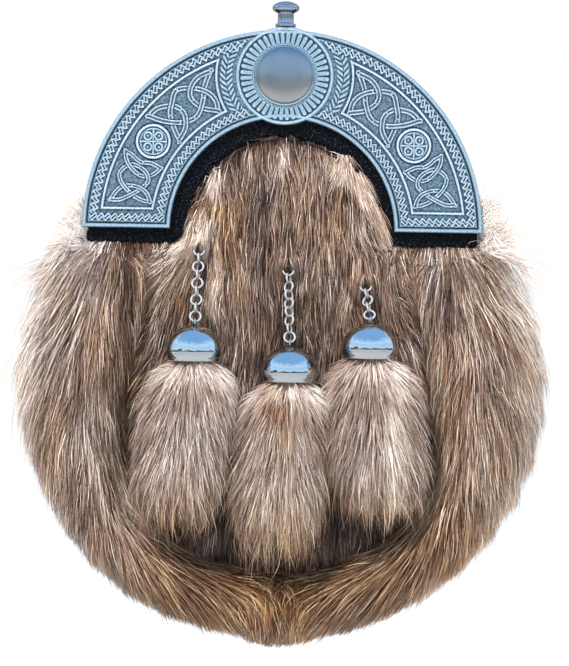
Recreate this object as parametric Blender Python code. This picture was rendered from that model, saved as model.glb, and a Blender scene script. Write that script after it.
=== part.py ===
"""A dress sporran: a fur-covered leather pouch with a cast silver cantle and three tassels.

The pouch hangs upright, as worn.  Sizes below are in millimetres.  X runs to the right seen from
the front, the front faces -Y and Z is up.  The origin is where the strap passes behind the pouch,
midway between the two belt loops.  Heights called "drop" or "rise" count from the cantle's arc
centre, the middle of the straight line through the two lower ends of the cantle.
"""
import math

import bmesh
import bpy
from mathutils import Vector

MM = 0.001
GAP = 0.3
ARC_Z = -25.0

# Cantle: half a ring with a round disc at its top.
CANTLE_OUTER = 76.0
CANTLE_INNER = 42.7
CANTLE_PLATE = 2.4
CANTLE_STEPS = 30
RIM_WIDTH = 1.5
RIM_RISE = 0.8
DISC_RISE = 58.6
DISC_RADIUS = 18.6
DISC_SEAT = 0.12
DISC_STEP = 0.3
BOSS_RADIUS = 11.3
BOSS_RISE = 3.6
# Boss, as shares of its radius and of its rise, out from its flat back and up its dome.
BOSS_PROFILE = (
    (0.0, 0.0), (0.99, 0.0), (1.0, 0.14), (0.93, 0.42), (0.72, 0.76), (0.38, 0.95), (0.0, 1.0),
)
RAY_COUNT = 22
RAY_INNER = 12.8
RAY_OUTER = 16.9
FRAME_OUTER = 69.0
FRAME_INNER = 49.9
FRAME_END = 7.3
FRAME_DISC = 26.0
MEDALLION_RADIUS = 6.2
MEDALLION_PLACE = (50.1, 33.0)

# Relief lines: half width and height of each ridge.
FRAME_LINE = (0.6, 0.6)
KNOT_LINE = (0.85, 0.7)
RAY_LINE = (0.8, 0.5)
END_RIM_LINE = (0.72, 0.7)
RIDGE_SUNK = 0.35
MEDALLION_TURNS = (15.0, 105.0)

# Knotwork on the right half, as (x, rise) points of closed loops; the left half mirrors it.
UPPER_KNOT = (
    (28.3, 59.8), (33.0, 57.4), (35.6, 53.5), (35.4, 49.4), (31.0, 45.9), (25.1, 44.9),
    (26.2, 49.0), (29.6, 52.0), (35.2, 53.3), (41.0, 52.4), (42.6, 48.0), (43.1, 42.0),
    (39.7, 33.1), (37.4, 38.2), (38.0, 43.6), (42.0, 46.4), (48.0, 45.4), (51.3, 42.4),
    (45.6, 40.6), (38.8, 40.2), (33.2, 42.6), (31.0, 48.2), (30.4, 54.0),
)
BIRD_KNOT = (
    (60.1, 29.0), (56.8, 27.7), (54.0, 24.7), (50.2, 24.4), (46.3, 22.9), (49.3, 20.1),
    (54.0, 20.3), (57.3, 22.9), (59.9, 25.1),
)
BASE_KNOT = (
    (65.0, 10.2), (63.4, 13.8), (60.1, 15.9), (56.0, 15.1), (53.3, 13.0), (50.6, 9.9),
    (54.6, 10.4), (58.1, 12.3), (61.6, 10.5),
)
KNOT_LINKS = (
    ((61.6, 14.9), (62.6, 18.6), (61.0, 22.0), (57.6, 23.6)),
    ((53.2, 20.3), (50.9, 18.2), (51.2, 15.8), (53.8, 13.4)),
)

# Pouch: the outline is the hull of two circles, one at the arc centre and one below it.
TOP_RADIUS = 74.0
LOW_RADIUS = 79.0
LOW_DROP = 58.0
STRAP_GAP = 6.0
BACK_WALL = 2.4
FRONT_WALL = 2.0
GUSSET_WALL = 2.0
GUSSET_INSET = 1.0
GUSSET_DEPTH = 18.0
GUSSET_TOP_ANGLE = 131.0
GUSSET_STATIONS = 34
FRONT_CROWN = 3.0
CROWN_DROP = 70.0
CROWN_HALF = (68.0, 58.0)

# Felt under the cantle, with pinked teeth along its free edges.
FELT_WALL = 1.7
FELT_INNER = 36.2
FELT_OUTER = 74.4
FELT_END_DROP = 5.8
TOOTH_PITCH = 3.9
TOOTH_DEPTH = 1.2

# Belt loops on the back panel.
LOOP_X = 44.0
LOOP_WIDTH = 18.0
LOOP_HALF_SLOT = 13.0
# Sides of the strip, as (distance off the panel, height past the slot's end) from the tab inwards.
LOOP_INNER_SIDE = ((0.0, 7.0), (0.0, 1.5), (5.3, -0.5), (5.7, -2.5))
LOOP_OUTER_SIDE = ((2.0, 7.0), (2.0, 2.6), (7.1, 1.0), (7.7, -2.0))

# Stud on the cantle's top edge, as (radius, height) down its outer side from the cap.
STUD_PROFILE = (
    (0.0, 9.6), (2.6, 9.3), (4.5, 8.4), (5.15, 7.3), (4.9, 6.2), (3.3, 5.3), (3.05, 4.8),
    (3.05, 1.2), (3.9, 1.0), (3.9, 0.0), (0.0, 0.0),
)
STUD_SET_BACK = 1.0

# Tongue of fur on the front panel: half width of the valley round it, by angle up from the bottom.
VALLEY = (
    (0.0, 72.0), (20.0, 72.0), (38.0, 72.4), (51.0, 70.5), (66.0, 64.5), (84.0, 58.6),
    (102.0, 56.6), (118.0, 57.6), (128.0, 62.0), (135.0, 68.0),
)
FUR_TOP = 35.6
FUR_SHOULDER_DROP = 6.4
FUR_ROWS = 17
FUR_UPPER_ROWS = 7
FUR_UPPER_ANGLES = (86.0, 8.0)
FUR_FIRST_STEP = 0.8
FUR_FOOT_GAP = 0.6
FUR_FOOT_HALF = 4.0
FUR_ROW_EASE = 0.9
FUR_COLUMNS = 13
FUR_THICK = 10.0
FUR_EDGE_THICK = 4.5
FUR_SIDE_GAP = 0.6
FUR_LOCK = 1.3
# Distance over which the fur grows from its edge thickness to its full one.
FUR_TOP_ROUNDING = 22.0
FUR_BOTTOM_ROUNDING = 30.0
FUR_SIDE_ROUNDING = 24.0
# Bed pressed into the fur by each tassel: depth, half width, half height, centre below the lip.
BED_DEPTH = 2.6
BED_HALF_WIDTH = 16.0
BED_HALF_HEIGHT = 44.0
BED_DROP = 22.0
BED_EASE = 1.5

# Ruff of long fur round the gusset.
RUFF_RADIUS = 101.0
RUFF_TIP = 3.0
RUFF_TIP_ANGLE = 7.0
RUFF_FRONT = 23.0
RUFF_TOP_FRONT = 9.0
RUFF_STATIONS = 24
RUFF_TOP_ANGLE = 135.0
RUFF_TOP_REACH_ANGLE = 118.5
RUFF_CEILING_DROP = 7.2
RUFF_SHOULDER_X = 76.9
RUFF_BACK = 0.8
RUFF_LOCK = 0.02
RUFF_LOCK_LIFT = 1.6
RUFF_RISE_ANGLE = 52.0
RUFF_EDGE_SHARE = 0.45
RUFF_UNDER_SHARE = 0.2
# Section of the ruff: reach from valley (0) to outline (1), and lift from back (-1) to front (1).
RUFF_SECTION = (
    (0.00, 0.02), (0.05, 0.42), (0.17, 0.78), (0.38, 1.00), (0.60, 0.93), (0.80, 0.60),
    (0.94, 0.12), (1.00, -0.35), (0.96, -0.78), (0.86, -0.98),
)
# Rise, outer reach and front lift of the narrow shoulders beside the cantle's ends.
RUFF_SHOULDERS = ((12.0, 78.6, 0.10), (6.0, 83.6, 0.32), (-1.5, 89.0, 0.43), (-6.6, 92.4, 0.5))
# Section of a shoulder: share of its width, the depth it is measured from, and the offset in y.
RUFF_SHOULDER_SECTION = (
    (0.0, "face", -0.4), (0.03, "middle", 0.0), (0.1, "front", 0.3), (0.3, "front", 0.0),
    (0.55, "front", 0.6), (0.78, "front", 3.0), (0.94, "face", 3.0), (1.0, "face", 9.0),
    (0.9, "back", -4.5), (0.7, "back", -1.0), (0.0, "back", 0.0), (0.0, "face", 1.5),
    (0.0, "face", 0.0),
)

# Chains: rings of round wire, each hooked through the next.
LINK_RADIUS = 1.98
LINK_WIRE = 0.8
LINK_PITCH = 3.3
LINK_SIDES = 10
WIRE_SIDES = 5
EYE_RADIUS = 1.45
EYE_WIRE = 0.8
HOOK_CLEAR = 0.32
STAPLE_BASE = (2.6, 1.0)
STAPLE_STAND = 2.3

# Bells, as (radius, height above the lip) up the outer side and down the inner side.
BELL_OUTER = (
    (9.5, 0.0), (10.1, 0.9), (10.3, 3.2), (10.0, 6.0), (8.6, 9.2), (5.4, 12.1), (0.0, 13.4),
)
BELL_INNER = ((0.0, 12.5), (4.9, 11.2), (7.8, 8.4), (9.1, 5.6), (9.3, 3.2), (8.7, 0.0))
BELL_HEIGHT = 13.4
BELL_Y = -49.0
HEAD_RISE = 7.0
HEAD_RADIUS = 7.4
HEAD_TOP_SHARE = 0.8
HEAD_FOOT_PART = -0.06
EYE_SET = 0.3
STAPLE_NECK = ((1.0, 0.25), (0.6, 0.1))
STAPLE_SEARCH_STEPS = 12

# Tassels: x and drop of the bell's top, chain top x, ring count, then length below the lip,
# greatest half width and how far the fur hangs to one side.
TASSELS = {
    "left": {"x": -31.8, "drop": 36.8, "chain_x": -31.0, "links": 9,
             "length": 64.0, "half": 16.9, "sway": -5.4},
    "centre": {"x": 3.6, "drop": 44.0, "chain_x": 2.6, "links": 9,
               "length": 66.0, "half": 17.0, "sway": -3.9},
    "right": {"x": 33.4, "drop": 34.8, "chain_x": 31.6, "links": 5,
              "length": 62.0, "half": 17.8, "sway": 4.7},
}
# Fraction of the length below the lip, share of the greatest half width, and half depth.
TASSEL_SECTIONS = (
    (0.00, 0.48, 8.3), (0.03, 0.58, 9.0), (0.10, 0.76, 9.8), (0.24, 0.88, 10.4), (0.45, 0.95, 10.8),
    (0.70, 1.00, 11.0), (0.90, 0.93, 10.0),
)
TASSEL_TIP = (0.97, 0.72, 7.0)
TASSEL_TIP_DROP = (-2.0, 2.4)
TASSEL_SIDES = 16
TASSEL_LOCK = 0.07
TASSEL_LOCK_START = 0.03
TASSEL_LOCK_GROWTH = 0.3
TASSEL_SWAY_PART = 0.7

BACK_OUTER = -STRAP_GAP / 2
BACK_INNER = BACK_OUTER - BACK_WALL
PANEL_INNER = BACK_INNER - GUSSET_DEPTH
PANEL_OUTER = PANEL_INNER - FRONT_WALL
FELT_BACK = PANEL_OUTER - GAP
FELT_FRONT = FELT_BACK - FELT_WALL
CANTLE_BACK = FELT_FRONT - GAP
CANTLE_FRONT = CANTLE_BACK - CANTLE_PLATE
DISC_FACE = CANTLE_FRONT - DISC_STEP
SIDE_SLOPE = math.asin((LOW_RADIUS - TOP_RADIUS) / LOW_DROP)


def clear_scene():
    """Remove every object of the start-up scene."""
    for item in list(bpy.data.objects):
        bpy.data.objects.remove(item, do_unlink=True)


def material(name, colour, roughness, metallic=0.0):
    """A plain Principled material."""
    made = bpy.data.materials.new(name)
    made.use_nodes = True
    shader = made.node_tree.nodes["Principled BSDF"]
    shader.inputs["Base Color"].default_value = (*colour, 1.0)
    shader.inputs["Roughness"].default_value = roughness
    shader.inputs["Metallic"].default_value = metallic
    made.diffuse_color = (*colour, 1.0)
    return made


def place(x, y, rise):
    """A point in millimetres, its height counted from the arc centre."""
    return (x, y, ARC_Z + rise)


def make_object(name, points, faces, finish, round_angle=None):
    """A mesh object from points in millimetres, its faces turned outward."""
    mesh = bpy.data.meshes.new(name)
    work = bmesh.new()
    corners = [work.verts.new(Vector(point) * MM) for point in points]
    for face in faces:
        work.faces.new([corners[index] for index in face])
    bmesh.ops.recalc_face_normals(work, faces=work.faces)
    bmesh.ops.triangulate(work, faces=[face for face in work.faces if len(face.verts) > 4])
    work.to_mesh(mesh)
    work.free()
    if round_angle:
        mesh.shade_smooth()
        mesh.set_sharp_from_angle(angle=math.radians(round_angle))
    mesh.materials.append(finish)
    made = bpy.data.objects.new(name, mesh)
    bpy.context.scene.collection.objects.link(made)
    return made


def unite(target, parts):
    """Join the hidden guide objects to the target with a Boolean union."""
    for part in parts:
        part.hide_render = True
        part.display_type = "WIRE"
        union = target.modifiers.new("union", "BOOLEAN")
        union.operation = "UNION"
        union.solver = "EXACT"
        union.use_self = True
        union.object = part


def loft(rings, closed_path=False):
    """Points and faces of a skin through rings with equal counts, with flat caps."""
    count = len(rings[0])
    points = [point for ring in rings for point in ring]
    faces = []
    spans = len(rings) if closed_path else len(rings) - 1
    for row in range(spans):
        low = row * count
        high = (row + 1) % len(rings) * count
        for column in range(count):
            after = (column + 1) % count
            faces.append((low + column, low + after, high + after, high + column))
    if not closed_path:
        faces.append(tuple(reversed(range(count))))
        faces.append(tuple(range(len(points) - count, len(points))))
    return points, faces


def lathe(profile, sides, centre, axis="Z"):
    """Points and faces of a turned solid whose profile starts and ends on the axis."""
    cx, cy, cz = centre
    middle = profile[1:-1]

    def turned(radius, height, step):
        angle = 2 * math.pi * step / sides
        u, v = radius * math.cos(angle), radius * math.sin(angle)
        if axis == "Z":
            return (cx + u, cy + v, cz + height)
        return (cx + u, cy - height, cz + v)

    points = [turned(radius, height, step) for radius, height in middle for step in range(sides)]
    first, last = len(points), len(points) + 1
    points.append(turned(0.0, profile[0][1], 0))
    points.append(turned(0.0, profile[-1][1], 0))
    faces = []
    for row in range(len(middle) - 1):
        for step in range(sides):
            after = (step + 1) % sides
            faces.append((row * sides + step, row * sides + after,
                          (row + 1) * sides + after, (row + 1) * sides + step))
    bottom = (len(middle) - 1) * sides
    for step in range(sides):
        after = (step + 1) % sides
        faces.append((first, after, step))
        faces.append((last, bottom + step, bottom + after))
    return points, faces


def join_parts(parts):
    """One list of points and faces from several."""
    points, faces = [], []
    for part_points, part_faces in parts:
        offset = len(points)
        points.extend(part_points)
        faces.extend(tuple(index + offset for index in face) for face in part_faces)
    return points, faces


def ring_solid(centre, along, across, radius, wire, sides=LINK_SIDES, wire_sides=WIRE_SIDES):
    """A ring of round wire in the plane of two unit vectors."""
    normal = along.cross(across)
    rings = []
    for step in range(sides):
        turn = 2 * math.pi * (step + 0.5) / sides
        outward = along * math.cos(turn) + across * math.sin(turn)
        ring = []
        for side in range(wire_sides):
            roll = 2 * math.pi * side / wire_sides + math.pi
            offset = outward * (radius + wire / 2 * math.cos(roll)) + normal * (wire / 2 * math.sin(roll))
            ring.append(tuple(centre + offset))
        rings.append(ring)
    return loft(rings, closed_path=True)


def table_value(table, key):
    """Straight-line value of a two-column table at a key."""
    for (low, start), (high, end) in zip(table, table[1:]):
        if key <= high:
            part = max(0.0, (key - low) / (high - low))
            return start + (end - start) * part
    return table[-1][1]


def smooth(value):
    """Ease from 0 to 1."""
    value = min(1.0, max(0.0, value))
    return value * value * (3 - 2 * value)


# --- pouch ---------------------------------------------------------------------------------

def pouch_outline(inset, top_steps=13, low_steps=16):
    """Outline (x, rise) of the pouch, from the upper right tangent point anticlockwise."""
    top, low = TOP_RADIUS - inset, LOW_RADIUS - inset
    points = []
    for step in range(top_steps + 1):
        turn = SIDE_SLOPE + (math.pi - 2 * SIDE_SLOPE) * step / top_steps
        points.append((top * math.cos(turn), top * math.sin(turn)))
    for step in range(low_steps + 1):
        turn = math.pi - SIDE_SLOPE + (math.pi + 2 * SIDE_SLOPE) * step / low_steps
        points.append((low * math.cos(turn), low * math.sin(turn) - LOW_DROP))
    return points


def pouch_reach(angle, inset=0.0):
    """Distance from the lower circle's centre to the outline, by angle up from the bottom."""
    above = max(0.0, math.radians(abs(angle) - 90) - SIDE_SLOPE)
    return (LOW_RADIUS - inset) / math.cos(above)


def side_half_width(rise):
    """Half width of the pouch on the straight side between its two circles."""
    top_x, top_rise = TOP_RADIUS * math.cos(SIDE_SLOPE), TOP_RADIUS * math.sin(SIDE_SLOPE)
    return top_x + (top_rise - rise) * math.tan(SIDE_SLOPE)


def about_low(angle, reach):
    """(x, rise) of a point by angle up from the bottom and distance from the lower centre."""
    turn = math.radians(angle)
    return reach * math.sin(turn), -LOW_DROP - reach * math.cos(turn)


def panel_face(x, rise):
    """Depth (y) of the front panel's outer face, which is crowned over the belly."""
    across, up = x / CROWN_HALF[0], (rise + CROWN_DROP) / CROWN_HALF[1]
    return PANEL_OUTER - FRONT_CROWN * max(0.0, 1 - across * across - up * up)


def build_back_panel(leather):
    outline = pouch_outline(0.0)
    rings = [[place(x, y, rise) for x, rise in outline] for y in (BACK_OUTER, BACK_INNER)]
    return make_object("back_panel", *loft(rings), leather)


def crown_ring(scale):
    """(x, rise) points of the belly's crown edge, scaled about its centre, one per outline point."""
    points = []
    for x, rise in pouch_outline(0.0):
        turn = math.atan2((rise + CROWN_DROP) / CROWN_HALF[1], x / CROWN_HALF[0])
        points.append((scale * CROWN_HALF[0] * math.cos(turn),
                       scale * CROWN_HALF[1] * math.sin(turn) - CROWN_DROP))
    return points


def build_front_panel(leather):
    """A leather wall, flat at its edge and crowned over the belly."""
    outlines = [pouch_outline(0.0)] + [crown_ring(scale) for scale in (1.0, 0.75, 0.4)]
    outer = [[place(x, panel_face(x, rise), rise) for x, rise in outline] for outline in outlines]
    inner = [[(x, y + FRONT_WALL, z) for x, y, z in ring] for ring in reversed(outer)]
    return make_object("front_panel", *loft(inner + outer), leather)


def build_gusset(leather):
    """A leather strip between the panels, from one end of the mouth round to the other."""
    front, back = PANEL_INNER + GAP, BACK_INNER - GAP
    rings = []
    for step in range(GUSSET_STATIONS + 1):
        angle = GUSSET_TOP_ANGLE * (2 * step / GUSSET_STATIONS - 1)
        outer = about_low(angle, pouch_reach(angle, GUSSET_INSET))
        inner = about_low(angle, pouch_reach(angle, GUSSET_INSET + GUSSET_WALL))
        rings.append([place(outer[0], back, outer[1]), place(outer[0], front, outer[1]),
                      place(inner[0], front, inner[1]), place(inner[0], back, inner[1])])
    return make_object("gusset", *loft(rings), leather)


def build_belt_loop(side, sign, leather):
    """A leather strip that stands off the back panel between its two fixed tabs."""
    def whole(half_side):
        upper = [(BACK_OUTER + GAP + off, LOOP_HALF_SLOT + past) for off, past in half_side]
        return upper + [(y, -z) for y, z in reversed(upper)]

    inner, outer = whole(LOOP_INNER_SIDE), whole(LOOP_OUTER_SIDE)
    left, right = sign * LOOP_X - LOOP_WIDTH / 2, sign * LOOP_X + LOOP_WIDTH / 2
    rings = []
    for (y_in, z_in), (y_out, z_out) in zip(inner, outer):
        rings.append([(left, y_in, z_in), (right, y_in, z_in), (right, y_out, z_out),
                      (left, y_out, z_out)])
    return make_object("belt_loop_" + side, *loft(rings), leather, 40)


# --- felt ----------------------------------------------------------------------------------

def pinked(start, end, teeth):
    """Points along a straight stretch whose edge is cut into teeth, tooth by tooth."""
    (x0, z0), (x1, z1) = start, end
    length = math.hypot(x1 - x0, z1 - z0)
    nx, nz = (z1 - z0) / length, -(x1 - x0) / length
    points = []
    for step in range(2 * teeth):
        part = step / (2 * teeth)
        out = TOOTH_DEPTH if step % 2 else 0.0
        points.append((x0 + (x1 - x0) * part + nx * out, z0 + (z1 - z0) * part + nz * out))
    return points


def build_felt(felt):
    """Half a ring of felt with pinked inner and lower edges."""
    outline = []
    arc_teeth = round(math.pi * FELT_INNER / TOOTH_PITCH)
    for step in range(2 * arc_teeth + 1):
        turn = math.pi * step / (2 * arc_teeth)
        radius = FELT_INNER - (TOOTH_DEPTH if step % 2 else 0.0) + TOOTH_DEPTH / 2
        outline.append((radius * math.cos(turn), radius * math.sin(turn)))
    edge = FELT_INNER + TOOTH_DEPTH / 2
    low = -FELT_END_DROP + TOOTH_DEPTH
    end_teeth = round((FELT_OUTER - edge) / TOOTH_PITCH)
    left = pinked((-edge, low), (-FELT_OUTER, low), end_teeth)
    outline.extend((x, 2 * low - z if z > low else z) for x, z in left)
    outline.append((-FELT_OUTER, low))
    top_steps = 22
    for step in range(top_steps + 1):
        turn = math.pi * (1 - step / top_steps)
        outline.append((FELT_OUTER * math.cos(turn), FELT_OUTER * math.sin(turn)))
    outline.append((FELT_OUTER, low))
    right = [(-x, z) for x, z in reversed(outline[2 * arc_teeth + 1:2 * arc_teeth + 1 + len(left)])]
    outline.extend(right)
    rings = [[place(x, y, rise) for x, rise in outline] for y in (FELT_BACK, FELT_FRONT)]
    return make_object("felt_backing", *loft(rings), felt)


# --- cantle --------------------------------------------------------------------------------

def ridge(path, line, closed, face_y=None):
    """A raised line of triangular section along (x, rise) points on the cantle's face."""
    half, height = line
    face = CANTLE_FRONT if face_y is None else face_y
    foot = half * (1 + RIDGE_SUNK / height)
    count = len(path)
    rings = []
    for index, (x, z) in enumerate(path):
        before = Vector(path[(index - 1) % count] if closed or index else path[index])
        after = Vector(path[(index + 1) % count] if closed or index < count - 1 else path[index])
        here = Vector((x, z))
        coming = (here - before).normalized() if (here - before).length > 1e-6 else None
        going = (after - here).normalized() if (after - here).length > 1e-6 else None
        coming = coming or going
        going = going or coming
        middle = coming + going
        middle = going if middle.length < 0.35 else middle.normalized()
        widen = min(1.6, 1 / max(0.6, abs(middle.dot(going))))
        side = Vector((middle.y, -middle.x)) * foot * widen
        rings.append([place(x - side.x, face + RIDGE_SUNK, z - side.y),
                      place(x, face - height, z),
                      place(x + side.x, face + RIDGE_SUNK, z + side.y)])
    return loft(rings, closed_path=closed)


def arc_path(radius, start, end, steps, centre=(0.0, 0.0)):
    """(x, rise) points along an arc, angles in degrees from +X."""
    points = []
    for step in range(steps + 1):
        turn = math.radians(start + (end - start) * step / steps)
        points.append((centre[0] + radius * math.cos(turn), centre[1] + radius * math.sin(turn)))
    return points


def frame_path():
    """The raised frame round the right knotwork panel, its upper side hollowed by the disc."""
    def end_angle(radius):
        return math.degrees(math.asin(FRAME_END / radius))

    def disc_angle(radius):
        cosine = (radius**2 + DISC_RISE**2 - FRAME_DISC**2) / (2 * radius * DISC_RISE)
        return 90 - math.degrees(math.acos(cosine))

    outer = arc_path(FRAME_OUTER, end_angle(FRAME_OUTER), disc_angle(FRAME_OUTER), 7)
    inner = arc_path(FRAME_INNER, disc_angle(FRAME_INNER), end_angle(FRAME_INNER), 5)
    start, end = outer[-1], inner[0]
    angles = [math.degrees(math.atan2(z - DISC_RISE, x)) for x, z in (start, end)]
    hollow = arc_path(FRAME_DISC, angles[0], angles[1], 3, (0.0, DISC_RISE))
    return outer + hollow[1:-1] + inner


def mirrored(path):
    return [(-x, z) for x, z in path]


def cantle_plate():
    """The half ring with its two raised rims, lofted along the arc."""
    top, low = CANTLE_FRONT - RIM_RISE, CANTLE_FRONT
    section = (
        (CANTLE_INNER, CANTLE_BACK), (CANTLE_INNER, top + 0.2), (CANTLE_INNER + RIM_WIDTH - 0.5, top),
        (CANTLE_INNER + RIM_WIDTH, low), (CANTLE_OUTER - RIM_WIDTH, low),
        (CANTLE_OUTER - RIM_WIDTH + 0.5, top), (CANTLE_OUTER, top + 0.3), (CANTLE_OUTER, CANTLE_BACK),
    )
    rings = []
    for step in range(CANTLE_STEPS + 1):
        turn = math.pi * step / CANTLE_STEPS
        rings.append([place(radius * math.cos(turn), y, radius * math.sin(turn))
                      for radius, y in section])
    return loft(rings)


def cantle_disc():
    """The round disc with its raised rim and the flat seat of the boss."""
    centre = place(0.0, 0.0, DISC_RISE)
    back, top = -CANTLE_BACK - DISC_SEAT, -CANTLE_FRONT + RIM_RISE
    profile = (
        (0.0, back), (DISC_RADIUS - 0.2, back), (DISC_RADIUS, top), (DISC_RADIUS - 0.8, top + 0.2),
        (DISC_RADIUS - 1.3, -DISC_FACE), (0.0, -DISC_FACE),
    )
    return lathe(profile, 30, centre, axis="Y")


def cantle_rays():
    """Short raised rays round the boss."""
    rays = []
    for index in range(RAY_COUNT):
        turn = 2 * math.pi * (index + 0.5) / RAY_COUNT
        path = [(radius * math.cos(turn), DISC_RISE + radius * math.sin(turn))
                for radius in (RAY_INNER, RAY_OUTER)]
        rays.append(ridge(path, RAY_LINE, False, DISC_FACE))
    return rays


def medallion():
    """Ring and interlaced cross of the round medallion on the right half."""
    x, z = MEDALLION_PLACE
    ring = arc_path(MEDALLION_RADIUS, 0, 360, 12, MEDALLION_PLACE)[:-1]
    lines = [ridge(ring, KNOT_LINE, True)]
    for turn in map(math.radians, MEDALLION_TURNS):
        dx, dz = MEDALLION_RADIUS * math.cos(turn), MEDALLION_RADIUS * math.sin(turn)
        lines.append(ridge([(x - dx, z - dz), (x + dx, z + dz)], KNOT_LINE, False))
    return lines


def cantle_relief():
    """Every raised line of the casting, the right half's knotwork mirrored to the left."""
    parts = [cantle_disc()]
    parts.extend(cantle_rays())
    rim_end = RIM_WIDTH / 2
    for flip in (lambda path: path, mirrored):
        end_rim = [(CANTLE_INNER + rim_end, rim_end), (CANTLE_OUTER - rim_end, rim_end)]
        parts.append(ridge(flip(end_rim), END_RIM_LINE, False))
        parts.append(ridge(flip(frame_path()), FRAME_LINE, True))
        parts.append(ridge(flip(UPPER_KNOT), KNOT_LINE, True))
        parts.append(ridge(flip(BIRD_KNOT), KNOT_LINE, True))
        parts.append(ridge(flip(BASE_KNOT), KNOT_LINE, True))
        for link in KNOT_LINKS:
            parts.append(ridge(flip(link), KNOT_LINE, False))
    medal = medallion()
    parts.extend(medal)
    for points, faces in medal:
        parts.append(([(-x, y, z) for x, y, z in points], faces))
    return join_parts(parts)


def build_cantle(silver):
    plate = make_object("cantle", *cantle_plate(), silver, 35)
    relief = make_object("cantle_relief_guide", *cantle_relief(), silver)
    unite(plate, [relief])
    return plate


def build_boss(chrome):
    centre = place(0.0, DISC_FACE - GAP, DISC_RISE)
    profile = [(BOSS_RADIUS * out, BOSS_RISE * up) for out, up in BOSS_PROFILE]
    return make_object("cantle_boss", *lathe(profile, 20, centre, axis="Y"), chrome, 50)


def build_stud(chrome):
    middle = (CANTLE_FRONT + CANTLE_BACK) / 2 + STUD_SET_BACK
    centre = place(0.0, middle, DISC_RISE + DISC_RADIUS + GAP)
    return make_object("top_stud", *lathe(STUD_PROFILE, 16, centre), chrome, 50)


# --- fur -----------------------------------------------------------------------------------

def valley_half_width(rise):
    """Half width of the tongue of fur at a height below its shoulders."""
    rows = [about_low(angle, reach)[::-1] for angle, reach in VALLEY]
    if rise < rows[1][0]:
        return math.sqrt(max(0.0, VALLEY[0][1]**2 - (rise + LOW_DROP)**2))
    return table_value(rows, rise)


def bed_push(x, rise):
    """How far the fur is pressed in behind the tassels."""
    push = 0.0
    for row in TASSELS.values():
        lip = -row["drop"] - BELL_HEIGHT
        across = (x - row["x"]) / BED_HALF_WIDTH
        along = (rise - (lip - BED_DROP)) / BED_HALF_HEIGHT
        push = max(push, BED_DEPTH * smooth(BED_EASE - math.hypot(across, along)))
    return push


def fur_surface(x, rise):
    """Depth (y) of the front fur's face, without its locks."""
    if rise > -FUR_SHOULDER_DROP:
        half = math.sqrt(max(0.01, FUR_TOP**2 - max(0.0, rise)**2))
        top = smooth((FUR_TOP - math.hypot(x, max(0.0, rise))) / FUR_TOP_ROUNDING)
    else:
        half = max(0.1, valley_half_width(rise))
        top = 1.0
    bottom = smooth((rise + LOW_DROP + VALLEY[0][1]) / FUR_BOTTOM_ROUNDING)
    side = smooth((half - abs(x)) / FUR_SIDE_ROUNDING)
    full = min(side, bottom) if rise <= -FUR_SHOULDER_DROP else top
    thick = FUR_EDGE_THICK + (FUR_THICK - FUR_EDGE_THICK) * full
    return panel_face(x, rise) - GAP - thick + bed_push(x, rise) * full


def fur_rows():
    """(rise, half width) of each row of the tongue, from its round top to its bottom."""
    rows = []
    first, last = FUR_UPPER_ANGLES
    for step in range(FUR_UPPER_ROWS):
        turn = math.radians(first + (last - first) * step / (FUR_UPPER_ROWS - 1))
        rows.append((FUR_TOP * math.sin(turn), FUR_TOP * math.cos(turn)))
    rows.append((-FUR_SHOULDER_DROP, FUR_TOP))
    lower = FUR_ROWS - len(rows)
    start = FUR_SHOULDER_DROP + FUR_FIRST_STEP
    bottom = LOW_DROP + VALLEY[0][1] - FUR_FOOT_GAP
    for step in range(lower):
        part = math.sin(step / (lower - 1) * math.pi / 2)**FUR_ROW_EASE
        rise = -start - (bottom - start) * part
        rows.append((rise, max(FUR_FOOT_HALF, valley_half_width(rise) - FUR_SIDE_GAP)))
    return rows


def fur_column(column):
    """Share of the row's half width of a column of the tongue, closer together at its sides."""
    return math.sin((2 * column / (FUR_COLUMNS - 1) - 1) * math.pi / 2)


def fur_face_rows():
    """Rows of points of the tongue's face, in staggered locks like shingles."""
    rows = fur_rows()
    face = []
    for row, (rise, half) in enumerate(rows):
        points = []
        for column in range(FUR_COLUMNS):
            x = half * fur_column(column)
            edge = column in (0, FUR_COLUMNS - 1) or row in (0, len(rows) - 1)
            lock = 0.0 if edge else FUR_LOCK * ((row + column) % 2 - 0.5)
            points.append((x, fur_surface(x, rise) - lock, rise))
        face.append(points)
    return face


def fur_face_depth(x, rise):
    """Depth (y) of the tongue's face at a point, between the four nearest points of its rows."""
    face = fur_face_rows()
    for upper, lower in zip(face, face[1:]):
        if upper[0][2] >= rise > lower[0][2]:
            down = (upper[0][2] - rise) / (upper[0][2] - lower[0][2])
            half = upper[-1][0] + (lower[-1][0] - upper[-1][0]) * down
            column = (math.asin(x / half) * 2 / math.pi + 1) * (FUR_COLUMNS - 1) / 2
            left = min(FUR_COLUMNS - 2, int(column))
            across = column - left
            depths = [row[left][1] * (1 - across) + row[left + 1][1] * across for row in (upper, lower)]
            return depths[0] * (1 - down) + depths[1] * down
    return fur_surface(x, rise)


def build_front_fur(fur):
    """Fur lying on the front panel."""
    rings = []
    for row in fur_face_rows():
        front = [place(*point) for point in row]
        back = [place(x, panel_face(x, rise) - GAP, rise) for x, _, rise in row]
        rings.append(front + back[::-1])
    return make_object("front_fur", *loft(rings), fur, 60)


def ruff_reach(angle, station):
    """Outer radius of the ruff, drawn out to a point at the bottom, with uneven locks."""
    tip = RUFF_TIP * math.exp(-(angle / RUFF_TIP_ANGLE)**2)
    lock = 1 + RUFF_LOCK * (0.5 if station % 2 else -0.5)
    return RUFF_RADIUS * lock + tip


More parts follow.
